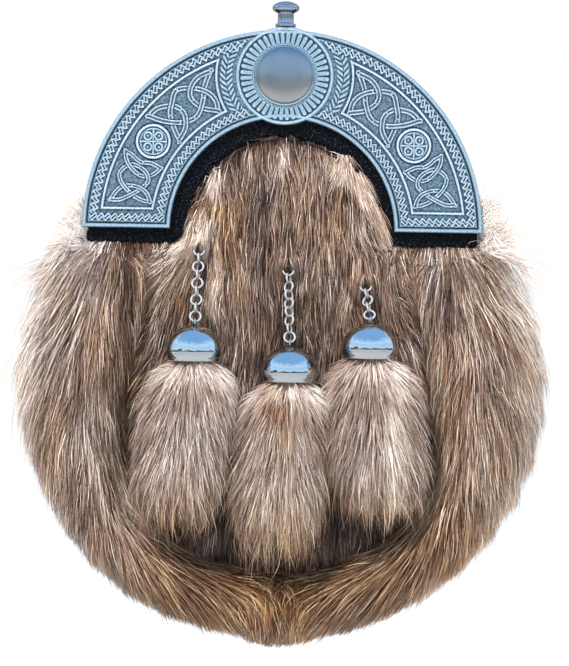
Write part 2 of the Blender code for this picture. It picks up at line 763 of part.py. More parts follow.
def ruff_section(angle, station):
    """Closed ring of points across the ruff, its foot in the valley and its tips outside."""
    reach_angle = angle * RUFF_TOP_REACH_ANGLE / RUFF_TOP_ANGLE
    full = smooth((RUFF_TOP_ANGLE - abs(angle)) / RUFF_RISE_ANGLE)
    front = RUFF_TOP_FRONT + (RUFF_FRONT - RUFF_TOP_FRONT) * full
    valley = table_value(VALLEY, abs(angle)) + GAP
    outer = ruff_reach(reach_angle, station)
    lock = 1 + RUFF_LOCK_LIFT * RUFF_LOCK * (0.5 if station % 2 else -0.5)
    face, back = PANEL_OUTER - GAP, BACK_OUTER - RUFF_BACK
    ring = []
    for reach, lift in RUFF_SECTION:
        x, rise = about_low(angle + (reach_angle - angle) * reach, valley + (outer - valley) * reach)
        rise = min(rise, -RUFF_CEILING_DROP)
        if lift >= 0:
            y = panel_face(x, rise) - GAP - front * lift * lock
        else:
            y = face + (back - face) * -lift
        ring.append(place(x, y, rise))
    edge_angle = angle + (reach_angle - angle) * RUFF_EDGE_SHARE
    x, rise = about_low(edge_angle, pouch_reach(edge_angle) + GAP)
    if rise > -RUFF_CEILING_DROP:
        x = math.copysign(side_half_width(-RUFF_CEILING_DROP) + GAP, x)
        rise = -RUFF_CEILING_DROP
    ring.append(place(x, back, rise))
    ring.append(place(x, face, rise))
    under_angle = angle + (reach_angle - angle) * RUFF_UNDER_SHARE
    x, rise = about_low(under_angle, (valley + pouch_reach(under_angle)) / 2)
    rise = min(rise, -RUFF_CEILING_DROP)
    ring.append(place(x, panel_face(x, rise) - GAP, rise))
    return ring


def ruff_shoulder(sign, rise, reach, lift):
    """Narrow ring of the same count beside the end of the cantle."""
    face = PANEL_OUTER - GAP
    front = face - RUFF_TOP_FRONT * lift
    depths = {"face": face, "front": front, "middle": (face + front) / 2,
              "back": BACK_OUTER - RUFF_BACK}
    width = reach - RUFF_SHOULDER_X
    return [place(sign * (RUFF_SHOULDER_X + width * share), depths[start] + offset, rise)
            for share, start, offset in RUFF_SHOULDER_SECTION]


def build_ruff(fur):
    """A roll of long fur in locks, from beside one end of the cantle round to the other."""
    rings = [ruff_shoulder(-1, *row) for row in RUFF_SHOULDERS]
    for station in range(-RUFF_STATIONS, RUFF_STATIONS + 1):
        rings.append(ruff_section(RUFF_TOP_ANGLE * station / RUFF_STATIONS, station))
    rings.extend(ruff_shoulder(1, *row) for row in reversed(RUFF_SHOULDERS))
    return make_object("fur_ruff", *loft(rings), fur, 60)


# --- tassels -------------------------------------------------------------------------------

def bell_top(row):
    return Vector(place(row["x"], BELL_Y, -row["drop"]))


def eye_centre(row):
    return bell_top(row) + Vector((0.0, 0.0, EYE_RADIUS - EYE_SET))


def hook_distance(ring_radius, ring_wire):
    """Centre distance of a chain ring and a fixed ring that it hangs in without touching."""
    return LINK_RADIUS + ring_radius - (LINK_WIRE + ring_wire) / 2 - HOOK_CLEAR


def staple_seat(x, rise):
    """Depth (y) where the staple's round base just clears the fur's face."""
    radius = STAPLE_BASE[0]
    spots = [(0.0, 0.0)] + arc_path(radius, 0, 315, 7)
    return min(fur_face_depth(x + dx, rise + dz) for dx, dz in spots) - GAP


def staple_centre(row):
    """Centre of the staple's ring, at the top of the chain's straight line."""
    length = 2 * hook_distance(EYE_RADIUS, EYE_WIRE) + (row["links"] - 1) * LINK_PITCH
    start = eye_centre(row)
    x, y = row["chain_x"], start.y
    rise = start.z - ARC_Z + length
    for _ in range(STAPLE_SEARCH_STEPS):
        y = staple_seat(x, rise) - STAPLE_BASE[1] - STAPLE_STAND
        rise = start.z - ARC_Z + math.sqrt(length**2 - (y - start.y)**2 - (x - start.x)**2)
    return Vector(place(x, y, rise))


def build_chain(name, row, chrome):
    """Interlocked rings on the line from the bell's eye to the staple."""
    start, end = eye_centre(row), staple_centre(row)
    along = (end - start).normalized()
    across = Vector((1.0, 0.0, 0.0))
    across = (across - along * across.dot(along)).normalized()
    depth = along.cross(across)
    rings = []
    for index in range(row["links"]):
        centre = start + along * (hook_distance(EYE_RADIUS, EYE_WIRE) + index * LINK_PITCH)
        side = depth if index % 2 else across
        rings.append(ring_solid(centre, along, side, LINK_RADIUS, LINK_WIRE))
    chain = make_object(name, *rings[0], chrome, 60)
    others = [make_object(name + "_ring_guide", *join_parts(rings[1::2]), chrome)]
    others.append(make_object(name + "_turned_guide", *join_parts(rings[2::2]), chrome))
    unite(chain, others)
    return chain


def build_staple(name, row, chrome):
    """A ring on a round base that sits against the fur."""
    centre = staple_centre(row)
    base_radius, base_thick = STAPLE_BASE
    ring = ring_solid(centre, Vector((0.0, 0.0, 1.0)), Vector((0.0, 1.0, 0.0)), EYE_RADIUS, EYE_WIRE, 10)
    seat, face = -STAPLE_STAND - base_thick, -STAPLE_STAND
    (neck_foot, foot_rise), (neck_top, top_rise) = STAPLE_NECK
    profile = ((0.0, seat), (base_radius, seat), (base_radius, face), (neck_foot, face + foot_rise),
               (neck_top, top_rise - EYE_RADIUS), (0.0, top_rise - EYE_RADIUS))
    base = make_object(name, *lathe(profile, 8, tuple(centre), axis="Y"), chrome, 50)
    unite(base, [make_object(name + "_ring_guide", *ring, chrome)])
    return base


def build_bell(name, row, chrome):
    """A chrome cone with a rolled lip and a small ring soldered to its top."""
    top = bell_top(row)
    lip = (top.x, top.y, top.z - BELL_HEIGHT)
    profile = tuple(reversed(BELL_OUTER)) + tuple(reversed(BELL_INNER))
    bell = make_object(name, *lathe(profile, 14, lip), chrome, 50)
    eye = ring_solid(eye_centre(row), Vector((0.0, 0.0, 1.0)), Vector((0.0, 1.0, 0.0)),
                     EYE_RADIUS, EYE_WIRE, 10)
    unite(bell, [make_object(name + "_eye_guide", *eye, chrome)])
    return bell


def tassel_ring(row, part, half_width, half_depth, lock):
    """Points round a tassel at a fraction of its length, every second one drawn in."""
    x = row["x"] + row["sway"] * min(1.0, max(0.0, part) / TASSEL_SWAY_PART)
    rise = -row["drop"] - BELL_HEIGHT - GAP - row["length"] * part
    points = []
    for side in range(TASSEL_SIDES):
        turn = 2 * math.pi * side / TASSEL_SIDES
        scale = 1 + (lock if side % 2 else -lock)
        points.append(place(x + half_width * scale * math.cos(turn),
                            BELL_Y + half_depth * scale * math.sin(turn), rise))
    return points


def build_tassel(name, row, fur):
    """Fur locks that spread below the bell and end in uneven points."""
    rings = []
    head_top = -HEAD_RISE / row["length"]
    for part, radius in ((head_top, HEAD_TOP_SHARE * HEAD_RADIUS), (HEAD_FOOT_PART, HEAD_RADIUS)):
        rings.append(tassel_ring(row, part, radius, radius, 0.0))
    for part, share, half_depth in TASSEL_SECTIONS:
        lock = TASSEL_LOCK * smooth((part - TASSEL_LOCK_START) / TASSEL_LOCK_GROWTH)
        rings.append(tassel_ring(row, part, share * row["half"], half_depth, lock))
    part, share, half_depth = TASSEL_TIP
    ends = tassel_ring(row, part, share * row["half"], half_depth, TASSEL_LOCK)
    rings.append([(x, y, z - TASSEL_TIP_DROP[side % 2]) for side, (x, y, z) in enumerate(ends)])
    return make_object(name, *loft(rings), fur, 60)


def main():
    clear_scene()
    silver = material("antiqued silver", (0.55, 0.60, 0.66), 0.32, 1.0)
    chrome = material("polished chrome", (0.80, 0.83, 0.87), 0.08, 1.0)
    felt = material("black felt", (0.012, 0.013, 0.018), 0.95)
    leather = material("black leather", (0.03, 0.028, 0.027), 0.55)
    brown_fur = material("brown fur", (0.36, 0.25, 0.18), 0.85)
    pale_fur = material("pale fur", (0.55, 0.43, 0.33), 0.85)
    build_back_panel(leather)
    build_front_panel(leather)
    build_gusset(leather)
    build_belt_loop("left", -1, leather)
    build_belt_loop("right", 1, leather)
    build_felt(felt)
    build_cantle(silver)
    build_boss(chrome)
    build_stud(chrome)
    build_front_fur(brown_fur)
    build_ruff(brown_fur)
    for side, row in TASSELS.items():
        build_staple("chain_staple_" + side, row, chrome)
        build_chain("chain_" + side, row, chrome)
        build_bell("bell_" + side, row, chrome)
        build_tassel("tassel_" + side, row, pale_fur)


main()
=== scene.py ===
import math

import bpy
import numpy as np
from mathutils import Matrix, Vector
from mathutils.bvhtree import BVHTree
from mathutils.kdtree import KDTree


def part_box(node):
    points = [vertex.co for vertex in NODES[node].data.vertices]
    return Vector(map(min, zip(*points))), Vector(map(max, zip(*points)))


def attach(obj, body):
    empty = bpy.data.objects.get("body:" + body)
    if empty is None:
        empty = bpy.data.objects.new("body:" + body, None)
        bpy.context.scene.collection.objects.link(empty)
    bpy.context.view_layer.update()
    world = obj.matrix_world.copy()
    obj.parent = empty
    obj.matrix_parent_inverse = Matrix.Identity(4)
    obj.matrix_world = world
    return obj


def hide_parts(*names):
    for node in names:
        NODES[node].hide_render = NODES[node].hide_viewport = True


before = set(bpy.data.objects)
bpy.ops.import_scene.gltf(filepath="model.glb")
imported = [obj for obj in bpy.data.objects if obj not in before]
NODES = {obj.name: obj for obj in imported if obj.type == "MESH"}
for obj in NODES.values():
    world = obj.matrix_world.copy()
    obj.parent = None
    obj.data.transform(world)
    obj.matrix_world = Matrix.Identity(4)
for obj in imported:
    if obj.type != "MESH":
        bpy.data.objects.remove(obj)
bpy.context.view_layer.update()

# Sizes are in millimetres. "Rise" is measured up from the centre of the cantle's arcs.
MM = 0.001
ARC_Z = -25.0
RANDOM = np.random.default_rng(20)
OUT = np.array((0.0, -1.0, 0.0))
LEAST_RADIUS = 0.002
TINY = 1e-9
# A y in front of everything, to cast rays from; the same distance behind is -FAR_FRONT.
FAR_FRONT = -90.0

# The photo's scale and tilt, to place what is read from it.
PHOTO_CENTRE = (282.0, 230.0)
PHOTO_SCALE = 0.38
PHOTO_TILT = 0.01745

# Cantle: the plate's faces and arcs, its rims, and the frame line round its relief.
PLATE_FACE = -30.1
PLATE_BACK = -27.7
OUTER = 76.0
INNER = 42.7
RIM_WIDTH = 1.5
RIM_HEIGHT = 0.8
FRAME_OUTER = 69.0
FRAME_INNER = 49.9
FRAME_END = 7.3
FRAME_DISC = 26.0
# Disc of rays: its place and face, its rays' ends, its hole, where its flat part ends and in how
# many rings, and the rings of its rounded edge.
DISC_RISE = 58.6
DISC_RADIUS = 18.6
DISC_FACE = -30.4
RAYS = 44
RAY_INNER = 12.5
RAY_OUTER = 17.0
RAY_DISC_HOLE = 10.6
RAY_DISC_FLAT = (17.6, 26)
RAY_DISC_BEND = (17.75, 17.95, 18.2, 18.4, 18.55, 18.6)
# Medallion: its middle as x and rise, its radius, and the loops and curls in its quarters.
MEDALLION = (49.5, 32.8, 6.7)
LOOP_PLACE = 2.05
LOOP_RADIUS = 1.40
CURL_PLACE = 2.2
# Depth of the groove beside a raised form, and of the stipple.
GROOVE_DEPTH = 0.16
STIPPLE = 0.16
# Rope borders: two zigzag lines side by side, each with its way across and its shift along.
ROPE_REACHES = (71.9, 46.8)
ROPE_END = 3.9
ROPE_PITCH = 2.55
ROPE_SWING = 0.72
ROPE_LINES = ((0.62, 0.0), (-0.62, 0.12))
ROPE_HALF = 0.30
ROPE_TOP = 0.5
ROPE_DISC = 19.6
ROPE_OVERRUN = 1.4
# Braid beside the disc, and how deep the ground of rope and braid lies.
BRAID_RADIUS = 22.3
BRAID_INNER = 19.7
BRAID_OUTER = 24.9
BRAID_OVERRUN = 1.6
BRAID_PITCH = 2.1
BRAID_SLANT = 0.95
BRAID_STRAND = 0.6
BRAID_TOP = 0.36
BORDER_SINK = 0.08
# Knots: half widths of their bands, the form of a band, and its lift and dip at a crossing.
UPPER_BAND = 0.95
LOWER_BAND = 0.80
BAND_HEIGHT = 0.16
BAND_SLOPE = 0.14
BAND_GAP = 0.30
BAND_LINE_HEIGHT = 0.50
BAND_LINE_WIDTH = 0.21
BAND_LINE_INSET = 0.26
OVER_LIFT = 0.14
UNDER_DIP = 0.10
CROSSING_RUN = 1.3
CURVE_STEP = 0.12
# Points across and along the plate, along its back, and round the disc.
PLATE_GRID = (120, 680)
BACK_COLUMNS = 90
RAY_DISC_COLUMNS = RAYS * 12
# Silver's tone: its mean, what it gains by standing out and by its height, and the specks of
# its low ground (their share, their tone, the tone of the rest, spread, greatest height).
RELIEF_TONE = 0.41
RELIEF_CONTRAST = 1.7
RELIEF_BY_HEIGHT = 0.22
RELIEF_BLURS = 6
SPECK_SHARE = 0.30
SPECK = -0.20
SPECK_REST = 0.05
SPECK_SPREAD = 0.05
SPECK_TOP = 0.12
# Tones of the castings' plain parts, and how far the rims' tone may go.
WALL_TONE = 0.62
BACK_TONE = 0.35
RIM_TONES = (0.34, 0.60)
# Where the sheets of the castings lie in their baked picture.
PICTURE_RUN = (0.01, 0.99)
STRIP_RUN = (0.02, 0.98)
PLATE_STRIP = (0.19, 0.99)
WALL_STRIP = (0.13, 0.16)
BACK_STRIP = (0.10, 0.12)
FAN_STRIP = (0.102, 0.106)
HOOP_STRIP = (0.085, 0.095)
DISC_STRIP = (0.01, 0.08)

# Middle lines of the knots' bands as (|x|, rise); a point given twice is a sharp tip.
UPPER_KNOT = (
    (28.3, 59.8), (28.3, 59.8), (33.0, 57.4), (35.6, 53.5), (35.4, 49.4), (31.0, 45.9),
    (25.1, 44.9), (25.1, 44.9), (26.2, 49.0), (29.6, 52.0), (35.2, 53.3), (41.0, 52.4),
    (42.6, 48.0), (43.1, 42.0), (39.7, 33.6), (39.7, 33.6), (37.4, 38.2), (38.0, 43.6),
    (42.0, 46.4), (48.0, 45.4), (51.3, 42.4), (51.3, 42.4), (45.6, 40.6), (38.8, 40.2),
    (33.2, 42.6), (31.0, 48.2), (30.4, 54.0),
)
LOWER_KNOT = (
    (62.1, 19.4), (61.4, 17.2), (59.7, 14.9), (57.7, 13.0), (55.4, 11.3), (52.7, 10.2),
    (50.4, 9.8), (50.4, 9.8), (51.1, 11.9), (52.4, 13.8), (54.6, 15.2), (57.4, 15.9),
    (60.5, 15.7), (63.0, 14.0), (65.4, 10.6), (65.4, 10.6), (62.2, 10.5), (59.6, 11.5),
    (57.0, 12.8), (54.5, 14.3), (52.5, 15.9), (51.2, 17.7), (51.4, 19.8), (52.6, 21.6),
    (54.7, 23.1), (57.5, 24.0), (60.1, 22.9), (61.9, 21.0),
)
CRESCENT = (
    (59.9, 29.0), (59.9, 29.0), (57.6, 27.7), (56.0, 26.2), (53.8, 24.8), (50.2, 24.5),
    (46.6, 22.7), (46.6, 22.7), (48.5, 20.8), (51.1, 19.6), (54.1, 19.8), (56.8, 21.7),
    (58.8, 24.2), (59.8, 26.7),
)

# Boss, stud, bells and chains: profiles are (radius, height) rows, and sides are round a ring
# and round its wire.
BOSS_Y = -30.7
BOSS_SIDES = 96
BOSS_STEP = ((11.3, 0.0), (11.3, 0.35), (11.1, 0.7), (10.7, 0.95))
BOSS_SWELL = 2.65
BOSS_RINGS = 16
BEZEL_Y = -31.05
BEZEL_RING = 10.95
BEZEL_WIRE = 0.95
BEZEL_SIDES = (96, 12)
STUD_PLACE = (0, -27.9, 52.5)
STUD_SIDES = 48
STUD_PROFILE = (
    (0.0, 0.0), (3.9, 0.0), (3.9, 0.9), (3.75, 1.05), (3.1, 1.15), (3.05, 1.5), (3.05, 4.8),
    (3.15, 5.1), (3.7, 5.45), (4.6, 5.95), (5.0, 6.4), (5.15, 7.0), (5.1, 7.6), (4.5, 8.35),
    (3.4, 9.0), (2.0, 9.45), (0.0, 9.6),
)
BELL_Y = -49.0
BELL_HEIGHT = 13.4
BELL_WALL = 0.9
BELL_SIDES = 72
BELL_PROFILE = (
    (9.35, 0.0), (9.6, 0.1), (9.75, 0.45), (9.7, 0.8), (9.95, 1.05), (10.35, 2.2), (10.5, 3.6),
    (10.4, 5.0), (10.0, 6.6), (9.2, 8.4), (8.0, 10.0), (6.4, 11.4), (4.4, 12.55), (2.2, 13.2), (0.0, 13.4),
)
BELL_EYE_RISE = 1.15
BELL_EYE_RING = 1.45
BELL_EYE_WIRE = 0.8
BELL_EYE_SIDES = (24, 10)
HOOK_DEPTH = 1.85
FIRST_LINK = 2.31
LINK_RING = 1.98
LINK_WIRE = 0.86
LINK_SIDES = (28, 10)
# Each tassel's name, the number of its links, and their twist in degrees.
TASSELS = (("left", 9, 8.0), ("centre", 9, 42.0), ("right", 5, 30.0))

# Ruff: its low centre, its usual reach from there, and by bearing in degrees from straight down
# how far its valley and its hairs' tips lie from there.
LOW_RISE = -58.0
RUFF_REACH = 100.6
VALLEY_ANGLES = (0, 20, 38, 51, 66, 84, 102, 118, 128, 135)
VALLEY_REACHES = (72, 72, 72.4, 70.5, 64.5, 58.6, 56.6, 57.6, 62, 68)
TIP_BEARINGS = (-130, -118, -105, -90, -70, -50, -30, -10, 0, 10, 30, 50, 62, 74, 90, 105, 118, 130)
TIP_REACHES = (
    105.0, 102.5, 101.0, 101.5, 99.5, 100.6, 99.8, 97.0, 101.0, 98.4, 98.6, 100.8, 104.0, 104.6, 103.6,
    101.4, 102.5, 105.0,
)
# Felt's lower ends: their rise, where the hair under them starts, how wide it is, and its lean.
FELT_END = -5.8
FELT_END_INNER = 34
FELT_END_WIDTH = 40.3
FELT_LEAN_PLACES = (34, 46, 52, 58, 64, 70, 74)
FELT_LEANS = (0.1, -0.10, -0.40, -0.30, -0.02, 0.30, 0.95)
# Tassel: the length below its bell over which it changes, its foot's height, and how far the
# foot's end is drawn up.
TASSEL_DROP = 60.0
TASSEL_FOOT = 24.0
TASSEL_FOOT_DRAWN = 15.5
# How deep the undercoats lie below the fur's outer form.
RUFF_DEPTH = 2.4
FRONT_DEPTH = 1.3
TASSEL_DEPTH = 2.4
# Places that are tried for each hair that is wanted.
TRIES_PER_HAIR = 4
# Hairs of each form: how many are wanted; their mean length, its spread, the least and the most;
# and how thick they are.
RUFF_HAIRS = 60000
FRONT_HAIRS = 31000
TASSEL_HAIRS = 11000
EDGE_HAIRS = 4200
FELT_EDGE_HAIRS = 5600
STAPLE_HAIRS = 480
FUZZ_FIBRES = 4500
RUFF_LENGTHS = (19, 4, 10, 30)
FRONT_LENGTHS = (12.5, 2.6, 6, 18)
TASSEL_LENGTHS = (14.5, 3.0, 8, 22)
FELT_EDGE_LENGTHS = (22, 5, 9, 32)
THICK = (0.18, 0.30)
RUFF_THICK = (0.17, 0.30)
FRONT_THICK = (0.15, 0.26)
TASSEL_THICK = (0.16, 0.28)
TUFT_THICK = (0.17, 0.28)
FUZZ_THICK = 0.10
# Tone and warmth of each form's hair before its patches, and how strong the front's patches are.
RUFF_TONE = 0.418
RUFF_WARMTH = 0.34
FRONT_TONE = 0.352
FRONT_WARMTH = 0.30
FRONT_PATCH_TONE = 1.15
FRONT_PATCH_WARMTH = 1.35
TASSEL_TONE = 0.570
TASSEL_WARMTH = 0.14
FELT_EDGE_TONE = 0.43
# How uneven the hairs are: spreads of tone and warmth, the shares of bright and dark hairs and
# their tones, the spread between locks, and how far a lock's tips are drawn together.
TONE_SPREAD = 0.15
WARMTH_SPREAD = 0.16
BRIGHT_SHARE = 0.16
BRIGHT = 0.26
DARK_FROM = 0.83
DARK = 0.22
LOCK_SPREAD = 0.045
LOCK_PULL = 0.24
# Share of the undercoat's tone that shows.
COAT_TONE = 0.8
# Form of a hair: its straight pieces, how far it is turned on its length, with one in four
# nearly on edge, and its thickness along its way.
STEPS = 3
HAIR_TWIST = 0.5
ON_EDGE = (0, 0, 0, 1.2)
HAIR_WAY = (0, 0.25, 0.6, 1.0)
HAIR_TAPER = (0.75, 1.0, 0.8, 0.2)
# Columns of the hairs' baked picture by warmth, their margin, and half a hair's width there.
WARMTH_BANDS = 8
BAND_EDGE = 0.04
HAIR_SPOT = 0.0008
# Way along a tuft's hair with its share of the height, and the warmth below which it is airy.
TUFT_STEPS = ((0.0, -0.15), (0.25, 0.7), (0.6, 1.0), (1.0, 0.75))
AIRY_WARMTH = 0.03
# Hair over each staple: name, tone, warmth, lean.
STAPLE_TUFTS = (("left", 0.66, 0.30, -0.25), ("centre", 0.38, 0.30, 0.05), ("right", 0.44, 0.45, 0.1))
# Thread stitches: their thickness, length and pitch, and how far they stay from the panel's edge.
THREAD_RADIUS = 0.34
THREAD_SIDES = 6
STITCH = 2.7
STITCH_PITCH = 3.7
STITCH_INSET = 4.0
LOOP_STITCH = 2.3
LOOP_STITCH_PITCH = 3.2


# ---------------------------------------------------------------- meshes

def add_piece(name, points, faces, material, slot, stands_for=None, colour=None, spots=None):
    """A smooth piece from points in millimetres and face index arrays, each (count, corners)."""
    mesh = bpy.data.meshes.new(name)
    points = np.asarray(points, float)
    faces = [np.asarray(f, np.int32) for f in faces if len(f)]
    corners = np.concatenate([f.ravel() for f in faces])
    sizes = np.concatenate([np.full(len(f), f.shape[1], np.int32) for f in faces])
    starts = np.concatenate([[0], np.cumsum(sizes)[:-1]]).astype(np.int32)
    mesh.vertices.add(len(points))
    mesh.vertices.foreach_set("co", (points * MM).astype(np.float32).ravel())
    mesh.loops.add(len(corners))
    mesh.loops.foreach_set("vertex_index", corners.astype(np.int32))
    mesh.polygons.add(len(sizes))
    mesh.polygons.foreach_set("loop_start", starts)
    mesh.polygons.foreach_set("use_smooth", np.full(len(sizes), True))
    if colour is not None:
        layer = mesh.color_attributes.new("look", "FLOAT_COLOR", "POINT")
        rgba = np.ones((len(points), 4), np.float32)
        rgba[:, :3] = colour
        layer.data.foreach_set("color", rgba.ravel())
    if spots is not None:
        layer = mesh.uv_layers.new(name="OFBake")
        layer.data.foreach_set("uv", spots[corners].astype(np.float32).ravel())
    mesh.update(calc_edges=True)
    mesh.materials.append(material)
    obj = bpy.data.objects.new(name, mesh)
    bpy.context.scene.collection.objects.link(obj)
    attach(obj, "root")
    if stands_for:
        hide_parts(stands_for)


def grid_faces(rows, columns, closed=False):
    """Quads of a grid of points stored row by row; closed joins the last column to the first."""
    across = columns if closed else columns - 1
    r, c = np.meshgrid(np.arange(rows - 1), np.arange(across), indexing="ij")
    a = r * columns + c
    b = r * columns + (c + 1) % columns
    return np.stack([a, b, b + columns, a + columns], -1).reshape(-1, 4)


def lathe(profile, sides, centre, axis="z"):
    """Points and faces of a turned form; the profile is (radius, height) rows, ends on the axis."""
    turn = np.linspace(0, 2 * math.pi, sides, endpoint=False)
    rings = []
    for radius, height in profile:
        radius = max(radius, LEAST_RADIUS)
        around = np.stack([radius * np.cos(turn), radius * np.sin(turn), np.full(sides, height)], -1)
        if axis == "y":
            around = around[:, [0, 2, 1]] * (1, -1, 1)
        rings.append(around)
    return np.concatenate(rings) + np.array(centre), grid_faces(len(profile), sides, closed=True)


def torus(centre, along, face, ring, wire, sides, wire_sides):
    """Points and faces of a ring in the plane of the unit vectors along and face."""
    along, face = np.array(along, float), np.array(face, float)
    out = np.cross(along, face)
    u = np.linspace(0, 2 * math.pi, sides, endpoint=False)[:, None]
    v = np.linspace(0, 2 * math.pi, wire_sides, endpoint=False)[None, :]
    radius = ring + wire / 2 * np.cos(v)
    points = (
        np.array(centre)
        + (radius * np.cos(u))[..., None] * along
        + (radius * np.sin(u))[..., None] * face
        + (wire / 2 * np.sin(v) * np.ones_like(u))[..., None] * out
    )
    i, j = np.meshgrid(np.arange(sides), np.arange(wire_sides), indexing="ij")
    k, m = (i + 1) % sides, (j + 1) % wire_sides
    faces = np.stack(
        [i * wire_sides + j, k * wire_sides + j, k * wire_sides + m, i * wire_sides + m], -1
    )
    return points.reshape(-1, 3), faces.reshape(-1, 4)


def gather(parts):
    """Joins (points, faces) pairs into one."""
    points, faces, count = [], [], 0
    for p, f in parts:
        points.append(p)
        faces.append(np.asarray(f) + count)
        count += len(p)
    return np.concatenate(points), faces


def box_of(node):
    """The centre, the low corner and the high corner of a node's box."""
    low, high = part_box(node)
    return (np.array(low) + np.array(high)) / 2 / MM, np.array(low) / MM, np.array(high) / MM


def hump(distance, width):
    """1 at no distance, falling off softly over the width."""
    return np.exp(-((distance / width) ** 2))


def ramp01(value, low, high):
    """A smooth step from 0 at low to 1 at high."""
    t = np.clip((value - low) / (high - low), 0, 1)
    return t * t * (3 - 2 * t)


def unit(v):
    return v / np.maximum(np.linalg.norm(v, axis=-1, keepdims=True), TINY)


# ---------------------------------------------------------------- materials

class Graph:
    """A node tree with short ways to add to it; inputs are values or other nodes' outputs."""

    def __init__(self, tree):
        self.tree = tree

    def feed(self, node, inputs):
        """Sets or links a node's inputs."""
        for socket, value in inputs.items():
            if isinstance(value, bpy.types.NodeSocket):
                self.tree.links.new(value, node.inputs[socket])
            else:
                node.inputs[socket].default_value = value

    def add(self, kind, inputs=()):
        """Adds a node and gives its outputs."""
        node = self.tree.nodes.new("ShaderNode" + kind)
        self.feed(node, dict(inputs))
        return node.outputs

    def math(self, operation, *values):
        """Arithmetic on values or outputs."""
        node = self.tree.nodes.new("ShaderNodeMath")
        node.operation = operation
        self.feed(node, dict(enumerate(values)))
        return node.outputs["Value"]

    def span(self, value, low, high, made_low=0.0, made_high=1.0):
        """The value's way from low to high, as a number from made_low to made_high."""
        ends = {"From Min": low, "From Max": high, "To Min": made_low, "To Max": made_high}
        return self.add("MapRange", {"Value": value, **ends})["Result"]

    def ramp(self, source, stops):
        """Colours by the source, from (place, colour) stops."""
        node = self.tree.nodes.new("ShaderNodeValToRGB")
        self.feed(node, {"Fac": source})
        elements = node.color_ramp.elements
        while len(elements) > 1:
            elements.remove(elements[-1])
        elements[0].position = stops[0][0]
        elements[0].color = (*stops[0][1], 1)
        for place, colour in stops[1:]:
            elements.new(place).color = (*colour, 1)
        return node.outputs["Color"]

    def mix(self, share, first, second, mode="MIX"):
        """Mixes the second colour, or a fixed one, into the first."""
        node = self.tree.nodes.new("ShaderNodeMix")
        node.data_type = "RGBA"
        node.blend_type = mode
        if isinstance(second, tuple):
            second = (*second, 1.0)
        self.feed(node, {"Factor": share, "A": first, "B": second})
        return node.outputs["Result"]

    def noise(self, scale, detail, stretch=(1, 1, 1)):
        """Noise in the object's own space, stretched along its axes."""
        where = self.add("TexCoord")["Object"]
        mapped = self.add("Mapping", {"Vector": where, "Scale": stretch})["Vector"]
        return self.add("TexNoise", {"Vector": mapped, "Scale": scale, "Detail": detail})["Fac"]

    def bump(self, height, strength, distance):
        """A surface direction roughened by the height; distance is in metres."""
        return self.add("Bump", {"Height": height, "Strength": strength, "Distance": distance})["Normal"]

    def look(self):
        """What each point carries: tone in red, warmth in green, the way along a hair in blue."""
        node = self.tree.nodes.new("ShaderNodeAttribute")
        node.attribute_name = "look"
        return self.add("SeparateColor", {"Color": node.outputs["Color"]})

    def hair_colour(self, tone, warmth):
        """Hair's colour between cool and warm."""
        return self.mix(warmth, self.ramp(tone, COOL_HAIR), self.ramp(tone, WARM_HAIR))

    def shade(self, inputs):
        """Feeds the material's surface shader."""
        self.feed(self.tree.nodes["Principled BSDF"], inputs)


def new_material(name):
    made = bpy.data.materials.new(name)
    made.use_nodes = True
    return made, Graph(made.node_tree)


# Colours by tone, from dark to bright.
COOL_HAIR = (
    (0.00, (0.010, 0.006, 0.006)),
    (0.18, (0.052, 0.033, 0.028)),
    (0.38, (0.165, 0.108, 0.088)),
    (0.58, (0.370, 0.268, 0.232)),
    (0.78, (0.650, 0.540, 0.490)),
    (1.00, (0.920, 0.870, 0.825)),
)
WARM_HAIR = (
    (0.00, (0.014, 0.006, 0.003)),
    (0.18, (0.085, 0.036, 0.016)),
    (0.38, (0.265, 0.128, 0.056)),
    (0.58, (0.500, 0.285, 0.135)),
    (0.78, (0.720, 0.500, 0.280)),
    (1.00, (0.900, 0.780, 0.580)),
)
# Silver by tone: dark patina in the hollows up to near white on the high spots, which is partly a painted
# highlight.
SILVER_TONES = (
    (0.00, (0.010, 0.020, 0.030)),
    (0.20, (0.055, 0.092, 0.120)),
    (0.42, (0.190, 0.285, 0.350)),
    (0.62, (0.460, 0.620, 0.720)),
    (1.00, (0.950, 1.000, 1.000)),
)
SILVER_STAINS = ((0.36, (0.66, 0.71, 0.76)), (0.62, (1.08, 1.08, 1.08)))
SILVER_GLOSS = ((0.2, (0.52, 0.52, 0.52)), (0.8, (0.26, 0.26, 0.26)))
LEATHER_TONES = (
    (0.35, (0.009, 0.008, 0.008)), (0.60, (0.019, 0.016, 0.015)), (0.75, (0.045, 0.037, 0.032)),
)
FELT_TONES = (
    (0.42, (0.001, 0.002, 0.003)), (0.58, (0.006, 0.007, 0.010)), (0.74, (0.060, 0.066, 0.080)),
)
THREAD_TONES = ((0.35, (0.09, 0.08, 0.07)), (0.7, (0.22, 0.20, 0.18)))
# Share of its colour that a hair shows on the way from its root to its tip.
ALONG_HAIR = (
    (0.00, (0.30, 0.27, 0.25)),
    (0.25, (0.72, 0.70, 0.68)),
    (0.60, (1.00, 1.00, 1.00)),
    (1.00, (1.12, 1.10, 1.06)),
)
# Chrome: how much darker its smears are, how much rougher, and the painted dark reflection on its lower
# side.
SMEAR_SHARE = 0.93
SMEAR_ROUGH = 0.06
PAINTED_LOWER_SHADE = (0.30, 0.31, 0.32)


def hair_material(name, roughness):
    """Colour from each hair's tone and warmth, and from the way along it."""
    made, graph = new_material(name)
    look = graph.look()
    hue = graph.hair_colour(look["Red"], look["Green"])
    colour = graph.mix(1.0, hue, graph.ramp(look["Blue"], ALONG_HAIR), "MULTIPLY")
    graph.shade({"Base Color": colour, "Roughness": roughness, "Specular IOR Level": 0.45})
    return made


